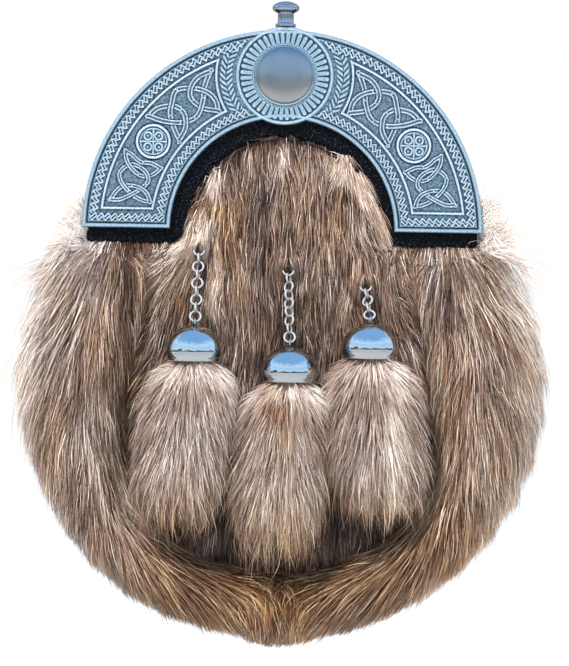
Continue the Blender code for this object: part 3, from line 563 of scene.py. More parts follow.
def undercoat_material(name, deep):
    """Short dense hair seen between the long hairs, in the tone and warmth of its place."""
    made, graph = new_material(name)
    look = graph.look()
    streaks = graph.noise(240.0, 6.0, (1.0, 1.0, 0.10))
    tone = graph.math("MULTIPLY", look["Red"], graph.span(streaks, 0.30, 0.70, deep, 1.05))
    graph.shade({
        "Base Color": graph.hair_colour(tone, look["Green"]),
        "Roughness": 0.8,
        "Normal": graph.bump(streaks, 0.8, 0.0008),
    })
    return made


def silver_material():
    """Cast metal: dark in the hollows from its patina, bright on the high spots, partly as a painted
    highlight, with a fine cast grain.
    """
    made, graph = new_material("antiqued_silver_look")
    tone = graph.look()["Red"]
    stains = graph.ramp(graph.noise(1300.0, 5.0), SILVER_STAINS)
    graph.shade({
        "Base Color": graph.mix(0.8, graph.ramp(tone, SILVER_TONES), stains, "MULTIPLY"),
        "Metallic": 0.60,
        "Roughness": graph.ramp(tone, SILVER_GLOSS),
        "Normal": graph.bump(graph.noise(2600.0, 3.0), 0.25, 0.0002),
    })
    return made


def chrome_material(name, base, roughness, painted_dark_sides=None, metallic=1.0):
    """Polished plating with faint smears. A fourth colour, where given, is painted on the sides that turn
    away to the fur as a painted reflection of the shaded fur, and the lower side then gets a painted dark
    reflection too.
    """
    made, graph = new_material(name)
    smears = graph.noise(220.0, 6.0)
    colour = graph.ramp(smears, ((0.35, tuple(c * SMEAR_SHARE for c in base)), (0.65, base)))
    if painted_dark_sides:
        facing = graph.add("SeparateXYZ", {"Vector": graph.add("TexCoord")["Normal"]})
        # Painted reflection: the lower side is darkened.
        colour = graph.mix(graph.span(facing["Z"], -0.14, 0.02, 0.80, 0.0), colour, PAINTED_LOWER_SHADE)
        # Painted reflection: the sides turned away to the fur take the dark colour of its shade.
        colour = graph.mix(graph.span(facing["Y"], -0.66, -0.34), colour, painted_dark_sides)
    gloss = graph.ramp(smears, ((0.35, (roughness,) * 3), (0.70, (roughness + SMEAR_ROUGH,) * 3)))
    graph.shade({"Base Color": colour, "Metallic": metallic, "Roughness": gloss})
    return made


def leather_material():
    """Black leather with a cell grain, worn in patches."""
    made, graph = new_material("black_leather_look")
    cells = graph.add("TexVoronoi", {"Vector": graph.add("TexCoord")["Object"], "Scale": 900.0})
    graph.shade({
        "Base Color": graph.ramp(graph.noise(60.0, 6.0), LEATHER_TONES),
        "Roughness": 0.42,
        "Specular IOR Level": 0.32,
        "Normal": graph.bump(cells["Distance"], 0.8, 0.0005),
    })
    return made


def felt_material():
    """Black wool felt with a few light fibres."""
    made, graph = new_material("black_felt_look")
    fibres = graph.noise(1500.0, 6.0)
    graph.shade({
        "Base Color": graph.ramp(fibres, FELT_TONES),
        "Roughness": 0.95,
        "Specular IOR Level": 0.15,
        "Normal": graph.bump(fibres, 0.9, 0.0004),
    })
    return made


def thread_material():
    """Waxed thread, uneven by its twist."""
    made, graph = new_material("waxed_thread_look")
    graph.shade({"Base Color": graph.ramp(graph.noise(1800.0, 2.0), THREAD_TONES), "Roughness": 0.6})
    return made


SILVER = silver_material()
# The fourth colour, where given, is a painted reflection of the shaded fur on the sides that turn away.
BOSS_CHROME = chrome_material("boss_chrome_look", (0.50, 0.54, 0.58), 0.30, (0.32, 0.40, 0.47))
STUD_CHROME = chrome_material("stud_chrome_look", (0.56, 0.66, 0.78), 0.22, (0.13, 0.15, 0.21))
BEZEL_CHROME = chrome_material("bezel_chrome_look", (0.62, 0.76, 0.84), 0.20)
BELL_CHROME = chrome_material("bell_chrome_look", (0.87, 0.96, 0.99), 0.04, (0.36, 0.40, 0.47))
LINK_METAL = chrome_material("chain_metal_look", (0.80, 0.76, 0.72), 0.10, (0.20, 0.18, 0.17), 0.55)
# The staples are painted dark as shade, so they sink into the fur's shadow.
STAPLE_SHADE_METAL = chrome_material("staple_shade_look", (0.13, 0.11, 0.10), 0.35)
LEATHER = leather_material()
FELT = felt_material()
THREAD = thread_material()
BROWN_HAIR = hair_material("brown_hair_look", 0.48)
PALE_HAIR = hair_material("pale_hair_look", 0.50)
BROWN_COAT = undercoat_material("brown_undercoat_look", 0.35)
PALE_COAT = undercoat_material("pale_undercoat_look", 0.62)


# ---------------------------------------------------------------- cantle

def closed_curve(points):
    """A smooth closed curve through points, sampled about every CURVE_STEP, as (count, 2)."""
    p = np.array(points, float)
    made = []
    for i in range(len(p)):
        a, b, c, d = p[i - 1], p[i], p[(i + 1) % len(p)], p[(i + 2) % len(p)]
        count = max(2, int(np.hypot(*(c - b)) / CURVE_STEP))
        t = np.linspace(0, 1, count, endpoint=False)[:, None]
        squared = (2 * a - 5 * b + 4 * c - d) * t**2
        cubed = (3 * b - a - 3 * c + d) * t**3
        made.append(0.5 * (2 * b + (c - a) * t + squared + cubed))
    return np.concatenate(made)


def band_profile(distance, half):
    """Height across a knot's band: two raised lines with a groove between them."""
    line = hump(distance - half + BAND_LINE_INSET, BAND_LINE_WIDTH)
    body = np.clip((half - distance) / BAND_SLOPE, 0, 1)
    return BAND_HEIGHT * body + BAND_LINE_HEIGHT * line


def side_of(p, q, r):
    """Positive where r lies on the left of the line from p to q."""
    return (q[..., 0] - p[..., 0]) * (r[..., 1] - p[..., 1]) - (
        q[..., 1] - p[..., 1]) * (r[..., 0] - p[..., 0])


def crossings(strands):
    """Where closed strands cross, as sorted (strand, sample, crossing) rows, two a crossing."""
    owner = np.concatenate([np.full(len(s), n) for n, s in enumerate(strands)])
    start = np.cumsum([0] + [len(s) for s in strands])
    here = np.concatenate(strands)
    there = np.concatenate([np.roll(s, -1, 0) for s in strands])
    visits = []
    for i in range(len(here)):
        a, b = here[i][None], there[i][None]
        j = np.arange(i + 2, len(here))
        hit = (side_of(a, b, here[j]) * side_of(a, b, there[j]) < 0) & (
            side_of(here[j], there[j], a) * side_of(here[j], there[j], b) < 0)
        for k in j[hit]:
            name = len(visits) // 2
            visits += [(owner[i], i - start[owner[i]], name), (owner[k], int(k) - start[owner[k]], name)]
    return sorted(visits)


def meetings(strands):
    """For each closed strand, the sample numbers of its crossings and whether it goes over."""
    order, places = {}, {}
    for strand, at, name in crossings(strands):
        places.setdefault(strand, []).append((at, name))
    for strand, found in places.items():
        for turn, (_, name) in enumerate(found):
            order.setdefault(name, []).append((strand, turn))
    first_over = {0: 0}
    for _ in strands:
        for (s, i), (t, j) in order.values():
            for one, m, two, n in ((s, i, t, j), (t, j, s, i)):
                if one in first_over and two not in first_over:
                    first_over[two] = (first_over[one] + m + 1 + n) % 2
    return [
        [(at, (turn + first_over.get(strand, 0)) % 2 == 0)
         for turn, (at, _) in enumerate(places.get(strand, []))]
        for strand in range(len(strands))
    ]


def cut_at_crossings(strands):
    """Pieces of the strands as (goes over, line, middle), one a crossing; those below come first."""
    pieces = []
    for strand, visits in zip(strands, meetings(strands)):
        count = len(strand)
        for k, (at, over) in enumerate(visits):
            before, after = visits[k - 1][0], visits[(k + 1) % len(visits)][0]
            start = at - (((at - before) % count) or count) // 2
            end = at + (((after - at) % count) or count) // 2 + 1
            pieces.append((over, strand[np.arange(start, end) % count], strand[at]))
        if not visits:
            pieces.append((False, strand, strand[0]))
    return sorted(pieces, key=lambda piece: piece[0])


def weave(height, x, rise, knots, half):
    """Presses closed bands into the height field, over and under each other in turn."""
    strands = [closed_curve(knot) for knot in knots]
    reach = half + BAND_GAP + 0.3
    everything = np.concatenate(strands)
    low, high = everything.min(0) - reach, everything.max(0) + reach
    near = np.flatnonzero((x > low[0]) & (x < high[0]) & (rise > low[1]) & (rise < high[1]))
    spots = np.stack([x[near], rise[near]], -1)
    field = height[near].copy()
    for over, line, centre in cut_at_crossings(strands):
        box_low, box_high = line.min(0) - reach, line.max(0) + reach
        close = np.flatnonzero(((spots > box_low) & (spots < box_high)).all(1))
        if not len(close):
            continue
        gaps = spots[close][:, None, :] - line[None, :, :]
        shortest = np.sqrt((gaps**2).sum(-1).min(1))
        from_crossing = np.hypot(*(spots[close] - centre).T)
        lift = (OVER_LIFT if over else -UNDER_DIP) * hump(from_crossing, CROSSING_RUN)
        now = field[close]
        made = band_profile(shortest, half) + lift
        now = np.where(shortest <= half, made if over else np.maximum(now, made), now)
        carve = over & (shortest > half) & (shortest < half + BAND_GAP) & (from_crossing < half * 2)
        field[close] = np.where(carve, np.minimum(now, -BORDER_SINK), now)
    height[near] = field


def ridge_height(distance, half, top):
    """A rounded raised line."""
    return top * np.sqrt(np.clip(1 - (distance / half) ** 2, 0, 1))


def zigzag(along, across, shift):
    """Distance to a zigzag line that runs along, measured across."""
    wave = np.abs(((along / ROPE_PITCH + shift) % 1.0) * 2 - 1) * 2 - 1
    slope = 4 * ROPE_SWING / ROPE_PITCH
    return np.abs(across - wave * ROPE_SWING) / math.sqrt(1 + slope * slope)


def rope(height, along, across, keep):
    """Adds two zigzag lines side by side on a sunk ground, where keep says so."""
    height = np.where(keep, height - BORDER_SINK, height)
    for aside, shift in ROPE_LINES:
        line = ridge_height(zigzag(along, across - aside, shift), ROPE_HALF, ROPE_TOP)
        height = np.where(keep, np.maximum(height, line), height)
    return height


def framed_ground(reach, rise, disc):
    """Stippled ground, with a frame line that has a sunk line on either side."""
    frame_gap = np.minimum(np.minimum(FRAME_OUTER - reach, reach - FRAME_INNER),
                           np.minimum(rise - FRAME_END, disc - FRAME_DISC))
    stipple = RANDOM.random(len(reach)) ** 2
    height = np.where(frame_gap < 0, 0.04 - 0.05 * stipple, 0.03 - STIPPLE * stipple)
    height -= GROOVE_DEPTH * hump(np.abs(frame_gap) - 0.90, 0.26)
    return np.maximum(height, ridge_height(np.abs(frame_gap), 0.50, 0.60))


def rope_borders(height, x, rise, reach, disc):
    """A rope along each arc and one across each end."""
    bearing = np.arctan2(x, rise)
    clear = (disc > ROPE_DISC) & (rise > ROPE_END + 1.2)
    wide = ROPE_SWING + 1.0
    for reach_at in ROPE_REACHES:
        keep = clear & (np.abs(reach - reach_at) < wide)
        height = rope(height, bearing * reach_at, reach - reach_at, keep)
    keep = (reach < ROPE_REACHES[0] + ROPE_OVERRUN) & (reach > ROPE_REACHES[1] - ROPE_OVERRUN)
    keep &= np.abs(rise - ROPE_END) < wide
    return rope(height, reach, rise - ROPE_END, keep)


def braid(height, x, rise, reach, disc):
    """A plait of chevrons round the disc."""
    keep = (disc > BRAID_INNER) & (disc < BRAID_OUTER)
    keep &= (reach < FRAME_OUTER + BRAID_OVERRUN) & (reach > FRAME_INNER - BRAID_OVERRUN)
    turn = np.arctan2(x, rise - DISC_RISE) * BRAID_RADIUS
    arms = np.abs(disc - BRAID_RADIUS)
    chevron = np.abs((((turn + arms * BRAID_SLANT) / BRAID_PITCH) % 1.0) * 2 - 1)
    plait = ridge_height(chevron, BRAID_STRAND, BRAID_TOP) * np.clip((2.5 - arms) / 0.5, 0, 1)
    plait *= np.where(arms < 0.25, 0.25, 1.0)
    return np.where(keep, np.maximum(height - BORDER_SINK, plait), height)


def medallion(height, x, rise):
    """A broad ring, and inside it a cross with a loop in each quarter."""
    middle_x, middle_rise, radius = MEDALLION
    dx, dr = np.abs(x - middle_x), np.abs(rise - middle_rise)
    away = np.hypot(dx, dr)
    from_loop = np.hypot(dx - LOOP_PLACE, dr - LOOP_PLACE)
    dome = ridge_height(away, radius, 0.34) - 0.10
    ring = ridge_height(np.abs(away - radius + 0.55), 0.55, 0.74)
    bars = ridge_height(np.minimum(dx, dr), 0.34, 0.44) * (away < radius - 1.6)
    loops = ridge_height(np.abs(from_loop - LOOP_RADIUS), 0.34, 0.48)
    curls = ridge_height(np.hypot(dx - CURL_PLACE, dr - CURL_PLACE), 0.40, 0.30)
    band = ridge_height(np.abs(away - radius + 1.75), 0.27, 0.34)
    cast = np.maximum.reduce([dome, ring, dome + bars, dome + loops, dome + curls, dome + band])
    return np.where(away < radius, cast, height - GROOVE_DEPTH * hump(away - radius - 0.3, 0.3))


def rim_distance(reach, rise):
    """How far inside the plate's edge a point is."""
    return np.minimum(np.minimum(OUTER - reach, reach - INNER), rise)


def rims(height, gap):
    """A rounded bead along the edge, with a groove and a low step inside it."""
    bead = ridge_height(np.abs(gap - 0.70), 0.74, RIM_HEIGHT)
    groove = 0.22 * hump(gap - 1.75, 0.28)
    shelf = 0.16 * hump(gap - 2.35, 0.25)
    return np.where(gap < RIM_WIDTH, bead, height) + shelf - groove


def cantle_height(x, rise):
    """Height of the relief over the plate's ground, for points given by |x| and rise."""
    reach = np.hypot(x, rise)
    disc = np.hypot(x, rise - DISC_RISE)
    height = framed_ground(reach, rise, disc)
    height = rope_borders(height, x, rise, reach, disc)
    height = braid(height, x, rise, reach, disc)
    weave(height, x, rise, (UPPER_KNOT,), UPPER_BAND)
    weave(height, x, rise, (LOWER_KNOT, CRESCENT), LOWER_BAND)
    height = medallion(height, x, rise)
    return rims(height, rim_distance(reach, rise))


def relief_tone(height, rows, columns):
    """Brightness of the silver from how high a spot stands over what is round it: patina in the hollows, and
    a partly painted highlight on what stands out.
    """
    grid = height.reshape(rows, columns)
    mean = grid.copy()
    for _ in range(RELIEF_BLURS):
        mean = (
            mean + np.roll(mean, 1, 0) + np.roll(mean, -1, 0) + np.roll(mean, 1, 1) + np.roll(mean, -1, 1)
        ) / 5
    tone = RELIEF_TONE + RELIEF_CONTRAST * (grid - mean) + RELIEF_BY_HEIGHT * (grid - 0.1)
    speck = np.where(RANDOM.random(grid.shape) < SPECK_SHARE, SPECK, SPECK_REST)
    speck = speck + RANDOM.normal(0, SPECK_SPREAD, grid.shape)
    tone += np.where(grid < SPECK_TOP, speck, 0.0)
    return np.clip(tone, 0, 1).ravel()


class Casting:
    """Gathers the sheets of a cast piece, each with its tone and its place in the baked picture."""

    def __init__(self):
        self.sheets, self.tones, self.spots = [], [], []

    def add(self, points, faces, tone, u, v):
        """Adds a sheet; tone is one number or one a point."""
        self.sheets.append((points, faces))
        self.tones.append(np.full(len(points), tone))
        self.spots.append(np.stack([np.ravel(u), np.ravel(v)], -1))

    def add_strip(self, points, columns, faces, tone, strip):
        """Adds two rows of points, laid along a strip of the picture."""
        u = np.tile(np.linspace(*STRIP_RUN, columns), 2)
        self.add(points, faces, tone, u, np.repeat(strip, columns))

    def finish(self, name):
        """Makes one piece of all the sheets."""
        points, faces = gather(self.sheets)
        colour = np.zeros((len(points), 3))
        colour[:, 0] = np.concatenate(self.tones)
        spots = np.concatenate(self.spots)
        add_piece(name, points, faces, SILVER, "antiqued_silver", "cantle", colour, spots)


def build_plate():
    """The half ring: a fine relief in front, a wall round its edge and a flat back."""
    casting = Casting()
    rows, columns = PLATE_GRID
    bearing = np.linspace(-math.pi / 2, math.pi / 2, columns)
    r, b = np.meshgrid(np.linspace(INNER, OUTER, rows), bearing, indexing="ij")
    x, rise = (r * np.sin(b)).ravel(), (r * np.cos(b)).ravel()
    height = cantle_height(np.abs(x), rise)
    tone = relief_tone(height, rows, columns)
    tone = np.where(rim_distance(r.ravel(), rise) < RIM_WIDTH, np.clip(tone, *RIM_TONES), tone)
    face = np.stack([x, PLATE_FACE - height, rise + ARC_Z], -1)
    u = np.interp(b, (-math.pi / 2, math.pi / 2), PICTURE_RUN)
    v = np.interp(r, (INNER, OUTER), PLATE_STRIP)
    casting.add(face, grid_faces(rows, columns)[:, ::-1], tone, u, v)

    edge = np.concatenate([
        np.arange(columns), np.arange(1, rows) * columns + columns - 1,
        (rows - 1) * columns + np.arange(columns - 2, -1, -1), np.arange(rows - 2, 0, -1) * columns,
    ])
    wall = np.tile(face[edge], (2, 1))
    wall[len(edge):, 1] = PLATE_BACK
    casting.add_strip(wall, len(edge), grid_faces(2, len(edge), closed=True), WALL_TONE, WALL_STRIP)

    bearing = np.linspace(-math.pi / 2, math.pi / 2, BACK_COLUMNS)
    r, b = np.meshgrid(np.array([INNER, OUTER]), bearing, indexing="ij")
    back = np.stack([(r * np.sin(b)).ravel(), np.full(r.size, PLATE_BACK),
                     (r * np.cos(b)).ravel() + ARC_Z], -1)
    casting.add_strip(back, BACK_COLUMNS, grid_faces(2, BACK_COLUMNS), BACK_TONE, BACK_STRIP)
    casting.finish("cantle_plate")


def ray_height(radius, turn):
    """Height of the disc's relief: rays between a dish's rim and a bead."""
    beat = np.abs(((turn / (2 * math.pi) * RAYS) % 1.0) * 2 - 1)
    past = np.clip(radius - (RAY_OUTER - 0.75), 0, None)
    ray = ridge_height(np.hypot(beat * math.pi / RAYS * radius, past), 0.80, 0.50)
    ray *= np.clip((radius - RAY_INNER + 0.5) / 0.5, 0, 1)
    dish = ridge_height(np.abs(radius - 11.9), 0.55, 0.40)
    bead = ridge_height(np.abs(radius - 17.95), 0.66, 0.62)
    return np.maximum.reduce([ray, dish, bead]) - 0.10 * (np.maximum(ray, bead) < 0.05)


def build_ray_disc():
    """The disc of rays round the boss: its relief, the wall round it and its flat back."""
    casting = Casting()
    radii = np.concatenate([np.linspace(RAY_DISC_HOLE, *RAY_DISC_FLAT), RAY_DISC_BEND])
    turn = np.linspace(0, 2 * math.pi, RAY_DISC_COLUMNS, endpoint=False)
    r, t = np.meshgrid(radii, turn, indexing="ij")
    height = ray_height(r, t)
    tone = relief_tone(height.ravel(), *r.shape)
    face = np.stack([(r * np.sin(t)).ravel(), (DISC_FACE - height).ravel(),
                     (r * np.cos(t)).ravel() + ARC_Z + DISC_RISE], -1)
    u = np.interp(t, (0, 2 * math.pi), PICTURE_RUN)
    v = np.interp(r, (RAY_DISC_HOLE, DISC_RADIUS), DISC_STRIP)
    casting.add(face, grid_faces(*r.shape, closed=True)[:, ::-1], tone, u, v)

    hoop = []
    for depth in (face[-len(turn):, 1].mean(), PLATE_BACK):
        hoop.append(np.stack([DISC_RADIUS * np.sin(turn), np.full(len(turn), depth),
                              DISC_RADIUS * np.cos(turn) + ARC_Z + DISC_RISE], -1))
    quads = grid_faces(2, len(turn), closed=True)[:, ::-1]
    casting.add_strip(np.concatenate(hoop), len(turn), quads, WALL_TONE, HOOP_STRIP)

    ring = np.arange(len(turn))
    fan = np.stack([np.zeros_like(ring), ring + 1, (ring + 1) % len(ring) + 1], -1)
    back = np.concatenate([[[0, PLATE_BACK, ARC_Z + DISC_RISE]], hoop[1]])
    u = np.concatenate([[0.5], np.linspace(*STRIP_RUN, len(turn))])
    v = np.concatenate([FAN_STRIP[:1], np.full(len(turn), FAN_STRIP[1])])
    casting.add(back, fan, BACK_TONE, u, v)
    casting.finish("cantle_ray_disc")


# ---------------------------------------------------------------- chrome

def add_chrome(name, parts, material, node):
    """A polished piece of turned and bent parts."""
    points, faces = gather(parts)
    add_piece(name, points, faces, material, "polished_chrome", node)


def build_boss():
    """A dome on a low step, in a round bezel."""
    profile = list(BOSS_STEP)
    radius, start = BOSS_STEP[-1]
    for t in np.linspace(0.12, 1.0, BOSS_RINGS):
        angle = t * math.pi / 2
        profile.append((radius * math.cos(angle), start + BOSS_SWELL * math.sin(angle)))
    rise = ARC_Z + DISC_RISE
    add_chrome("boss_dome", [lathe(profile, BOSS_SIDES, (0, BOSS_Y, rise), "y")], BOSS_CHROME, "cantle_boss")
    bezel = torus((0, BEZEL_Y, rise), (1, 0, 0), (0, 0, 1), BEZEL_RING, BEZEL_WIRE, *BEZEL_SIDES)
    add_chrome("boss_bezel", [bezel], BEZEL_CHROME, "cantle_boss")


def build_stud():
    """A turned knob on a stem and a flange."""
    add_chrome("stud_turned", [lathe(STUD_PROFILE, STUD_SIDES, STUD_PLACE)], STUD_CHROME, "top_stud")


def bell_eye(name):
    """The middle of the eye on top of a bell, and the height of the bell's lower edge."""
    centre, low, _ = box_of("bell_" + name)
    return np.array((centre[0], BELL_Y, low[2] + BELL_HEIGHT + BELL_EYE_RISE)), low[2]


def build_bell(name):
    """A hollow spun bell with its eye."""
    eye, base = bell_eye(name)
    inner = [(max(r - BELL_WALL, 0.0), max(h - BELL_WALL, 0.0)) for r, h in BELL_PROFILE[3:-1]]
    profile = [(0.0, BELL_HEIGHT - BELL_WALL)] + inner[::-1] + list(BELL_PROFILE)
    cup = lathe(profile, BELL_SIDES, (eye[0], BELL_Y, base))
    ring = torus(eye, (0, 0, 1), (0, 1, 0), BELL_EYE_RING, BELL_EYE_WIRE, *BELL_EYE_SIDES)
    add_chrome(f"bell_{name}_spun", [cup, ring], BELL_CHROME, "bell_" + name)


def build_chain(name, links, twist):
    """Rings from the bell's eye up to the staple, each turned a quarter from the one below."""
    eye, _ = bell_eye(name)
    staple, staple_low, _ = box_of("chain_staple_" + name)
    hook = np.array((staple[0], staple_low[1] + HOOK_DEPTH, staple[2]))
    span = np.linalg.norm(hook - eye)
    along = (hook - eye) / span
    pitch = (span - 2 * FIRST_LINK) / (links - 1)
    sideways = np.cross(along, (0, 1, 0))
    sideways /= np.linalg.norm(sideways)
    facing = np.cross(sideways, along)
    rings = []
    for i in range(links):
        place = eye + along * (FIRST_LINK + pitch * i)
        turn = math.radians(twist * min(1.0, i / 2, (links - 1 - i) / 2) + 90.0 * (i % 2))
        across = sideways * math.cos(turn) + facing * math.sin(turn)
        rings.append(torus(place, along, across, LINK_RING, LINK_WIRE, *LINK_SIDES))
    add_chrome(f"chain_{name}_links", rings, LINK_METAL, "chain_" + name)


# ---------------------------------------------------------------- hair

class Skin:
    """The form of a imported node, drawn in by a depth, to root hairs on or to lay thread on."""

    def __init__(self, node, depth=0.0, shape=None):
        mesh = NODES[node].data
        mesh.calc_loop_triangles()
        points = np.zeros(len(mesh.vertices) * 3)
        mesh.vertices.foreach_get("co", points)
        points = points.reshape(-1, 3) / MM
        triangles = np.zeros(len(mesh.loop_triangles) * 3, int)
        mesh.loop_triangles.foreach_get("vertices", triangles)
        triangles = triangles.reshape(-1, 3)
        keys = np.round(points, 3)
        _, first, same = np.unique(keys, axis=0, return_index=True, return_inverse=True)
        self.points = points[first]
        self.triangles = same.ravel()[triangles]
        a, b, c = (self.points[self.triangles[:, k]] for k in range(3))
        cross = np.cross(b - a, c - a)
        self.areas = np.linalg.norm(cross, axis=1) / 2
        normals = np.zeros_like(self.points)
        for k in range(3):
            np.add.at(normals, self.triangles[:, k], cross)
        self.normals = normals / np.maximum(np.linalg.norm(normals, axis=1, keepdims=True), TINY)
        self.points = self.points - self.normals * depth
        if shape:
            self.points = shape(self.points)
        self.tree = BVHTree.FromPolygons(self.points.tolist(), self.triangles.tolist())

    def front(self, x, z, default):
        """The y of the front of the form at x and z."""
        found = np.full(len(x), float(default))
        for i in range(len(x)):
            place = self.tree.ray_cast((x[i], FAR_FRONT, z[i]), (0.0, 1.0, 0.0))[0]
            if place is not None:
                found[i] = place.y
        return found

    def blend(self, where, numbers):
        """Smooth normals at points on the given triangles."""
        corners = self.triangles[numbers]
        a, b, c = (self.points[corners[:, k]] for k in range(3))
        v0, v1, v2 = b - a, c - a, where - a
        d00, d01, d11 = (v0 * v0).sum(1), (v0 * v1).sum(1), (v1 * v1).sum(1)
        d20, d21 = (v2 * v0).sum(1), (v2 * v1).sum(1)
        base = np.maximum(d00 * d11 - d01 * d01, 1e-12)
        v = np.clip((d11 * d20 - d01 * d21) / base, 0, 1)
        w = np.clip((d00 * d21 - d01 * d20) / base, 0, 1)
        u = np.clip(1 - v - w, 0, 1)
        made = (
            self.normals[corners[:, 0]] * u[:, None]
            + self.normals[corners[:, 1]] * v[:, None]
            + self.normals[corners[:, 2]] * w[:, None]
        )
        return made / np.maximum(np.linalg.norm(made, axis=1, keepdims=True), TINY)

    def nearest(self, where):
        """The nearest points of the form, and its smooth normals there."""
        spots = np.empty_like(where)
        numbers = np.empty(len(where), int)
        find = self.tree.find_nearest
        for i, p in enumerate(where.tolist()):
            place, _, number, _ = find(p)
            spots[i] = place
            numbers[i] = number
        return spots, self.blend(spots, numbers)

    def scatter(self, count, density):
        """Random points spread by area times density(points, normals)."""
        tries = count * TRIES_PER_HAIR
        numbers = RANDOM.choice(len(self.areas), tries, p=self.areas / self.areas.sum())
        u, v = RANDOM.random(tries), RANDOM.random(tries)
        flip = u + v > 1
        u[flip], v[flip] = 1 - u[flip], 1 - v[flip]
        a, b, c = (self.points[self.triangles[numbers, k]] for k in range(3))
        where = a + (b - a) * u[:, None] + (c - a) * v[:, None]
        normals = self.blend(where, numbers)
        wanted = density(where, normals)
        keep = np.flatnonzero(RANDOM.random(tries) < wanted / max(wanted.max(), TINY))
        keep = keep[:count]
        return where[keep], normals[keep]


# Direction and phase of each wave. The middle draw isn't used, but later draws depend on it.
WAVE_COUNT = 24
WAVE_DRAWS = (2 * math.pi, 2 * math.pi, 6.28)
WAVES = RANDOM.uniform(0, WAVE_DRAWS, (WAVE_COUNT, 3))[:, ::2]


def ripple(x, y, size, seed):
    """Smooth noise from -1 to 1 with features of about the given size."""
    total = 0.0
    for k in range(4):
        turn, phase = WAVES[(seed * 4 + k) % WAVE_COUNT]
        rate = 2 * math.pi / size * (0.6 + 0.35 * k)
        total = total + np.sin((x * math.cos(turn) + y * math.sin(turn)) * rate + phase)
    return total / 2.6


def lay_flat(flow, normals):
    """Takes away most of the part of a direction that points out of the form."""
    out = (flow * normals).sum(1, keepdims=True)
    return unit(flow - normals * np.where(out > 0, out * 0.8, out))


def grow(skin, roots, normals, field, lengths, lift, hold=0.55, bury=0.8, jitter=0.15):
    """Hair paths (count, STEPS + 1, 3) along the form, and the normals beside them."""
    count = len(roots)
    paths = np.zeros((count, STEPS + 1, 3))
    beside = np.zeros_like(paths)
    paths[:, 0] = roots - normals * bury
    beside[:, 0] = normals
    heading = lay_flat(field(roots), normals)
    heading = unit(heading + normals * 0.25 + RANDOM.normal(0, jitter, (count, 3)))
    here = paths[:, 0]
    step = (lengths / STEPS)[:, None]
    for k in range(1, STEPS + 1):
        place = here + heading * step
        spot, normal = skin.nearest(place)
        away = place - spot
        gap = np.linalg.norm(away, axis=1)
        outside = (away * normal).sum(1) > 0
        want = lift(k / STEPS)
        way = np.where((outside & (gap > 1e-3))[:, None], away / np.maximum(gap, 1e-6)[:, None], normal)
        rest = np.where(outside, np.maximum(want, want + (gap - want) * 0.8), want)
        place = spot + way * rest[:, None]
        flow = lay_flat(field(place), normal)
        mixed = unit(place - here) * hold + flow * (1 - hold)
        heading = unit(mixed + RANDOM.normal(0, jitter * 0.5, (count, 3)))
        paths[:, k] = place
        beside[:, k] = normal
        here = place
    return paths, beside


def arch(top, end):
    """The lift of hairs that rise to top and come down to a share of it at their tips."""
    return lambda t: top * np.interp(t, (0, 0.4, 1), (0.2, 1.0, end))


def clump(paths, roots, spacing, share):
    """Draws the tips of neighbouring hairs together into pointed locks."""
    count = max(2, len(roots) // spacing)
    chosen = RANDOM.choice(len(roots), count, replace=False)
    tree = KDTree(count)
    for n, i in enumerate(chosen):
        tree.insert(roots[i], n)
    tree.balance()
    owner = np.array([tree.find(p)[1] for p in roots.tolist()])
    pull = (np.linspace(0, 1, paths.shape[1]) ** 1.6)[None, :, None] * share
    offset = np.clip((roots[chosen[owner]] - roots)[:, None, :], -4, 4)
    return paths + offset * pull, owner


def hair_lengths(count, mean, spread, least, most):
    """Uneven lengths within limits."""
    return np.clip(RANDOM.normal(mean, spread, count), least, most)


def lock_tones(owner, spread):
    """One tone for all the hairs of a lock."""
    return RANDOM.normal(0, spread, owner.max() + 1)[owner]


def strand_tones(count, spread):
    """Uneven tones: most hairs near the mean, and some thin bright or dark ones."""
    kinds = RANDOM.random(count)
    tones = RANDOM.normal(0, spread, count) + np.where(kinds < BRIGHT_SHARE, BRIGHT, 0)
    return tones - np.where(kinds > DARK_FROM, DARK, 0)


def body_tones(look, paths, owner, depth, painted_depth_shade):
    """Tone and warmth of long hairs: by place, by lock, and painted shade by how low they lie."""
    lock = lock_tones(owner, LOCK_SPREAD)
    tone, warmth = look(paths[:, 2])
    # Painted shade: hairs that lie lower are darker, hairs that stand higher lighter.
    tone = tone + lock + strand_tones(len(paths), TONE_SPREAD) + painted_depth_shade * (depth - 0.5)
    return tone, warmth + RANDOM.normal(0, WARMTH_SPREAD, len(paths))


def alternate(left, right, tip):
    """Values (count, points) of ribbons stored as left and right points in turn, then the tip."""
    made = np.empty((len(left), 2 * left.shape[1] + 1, *left.shape[2:]))
    made[:, 0:-1:2] = left
    made[:, 1:-1:2] = right
    made[:, -1] = tip
    return made


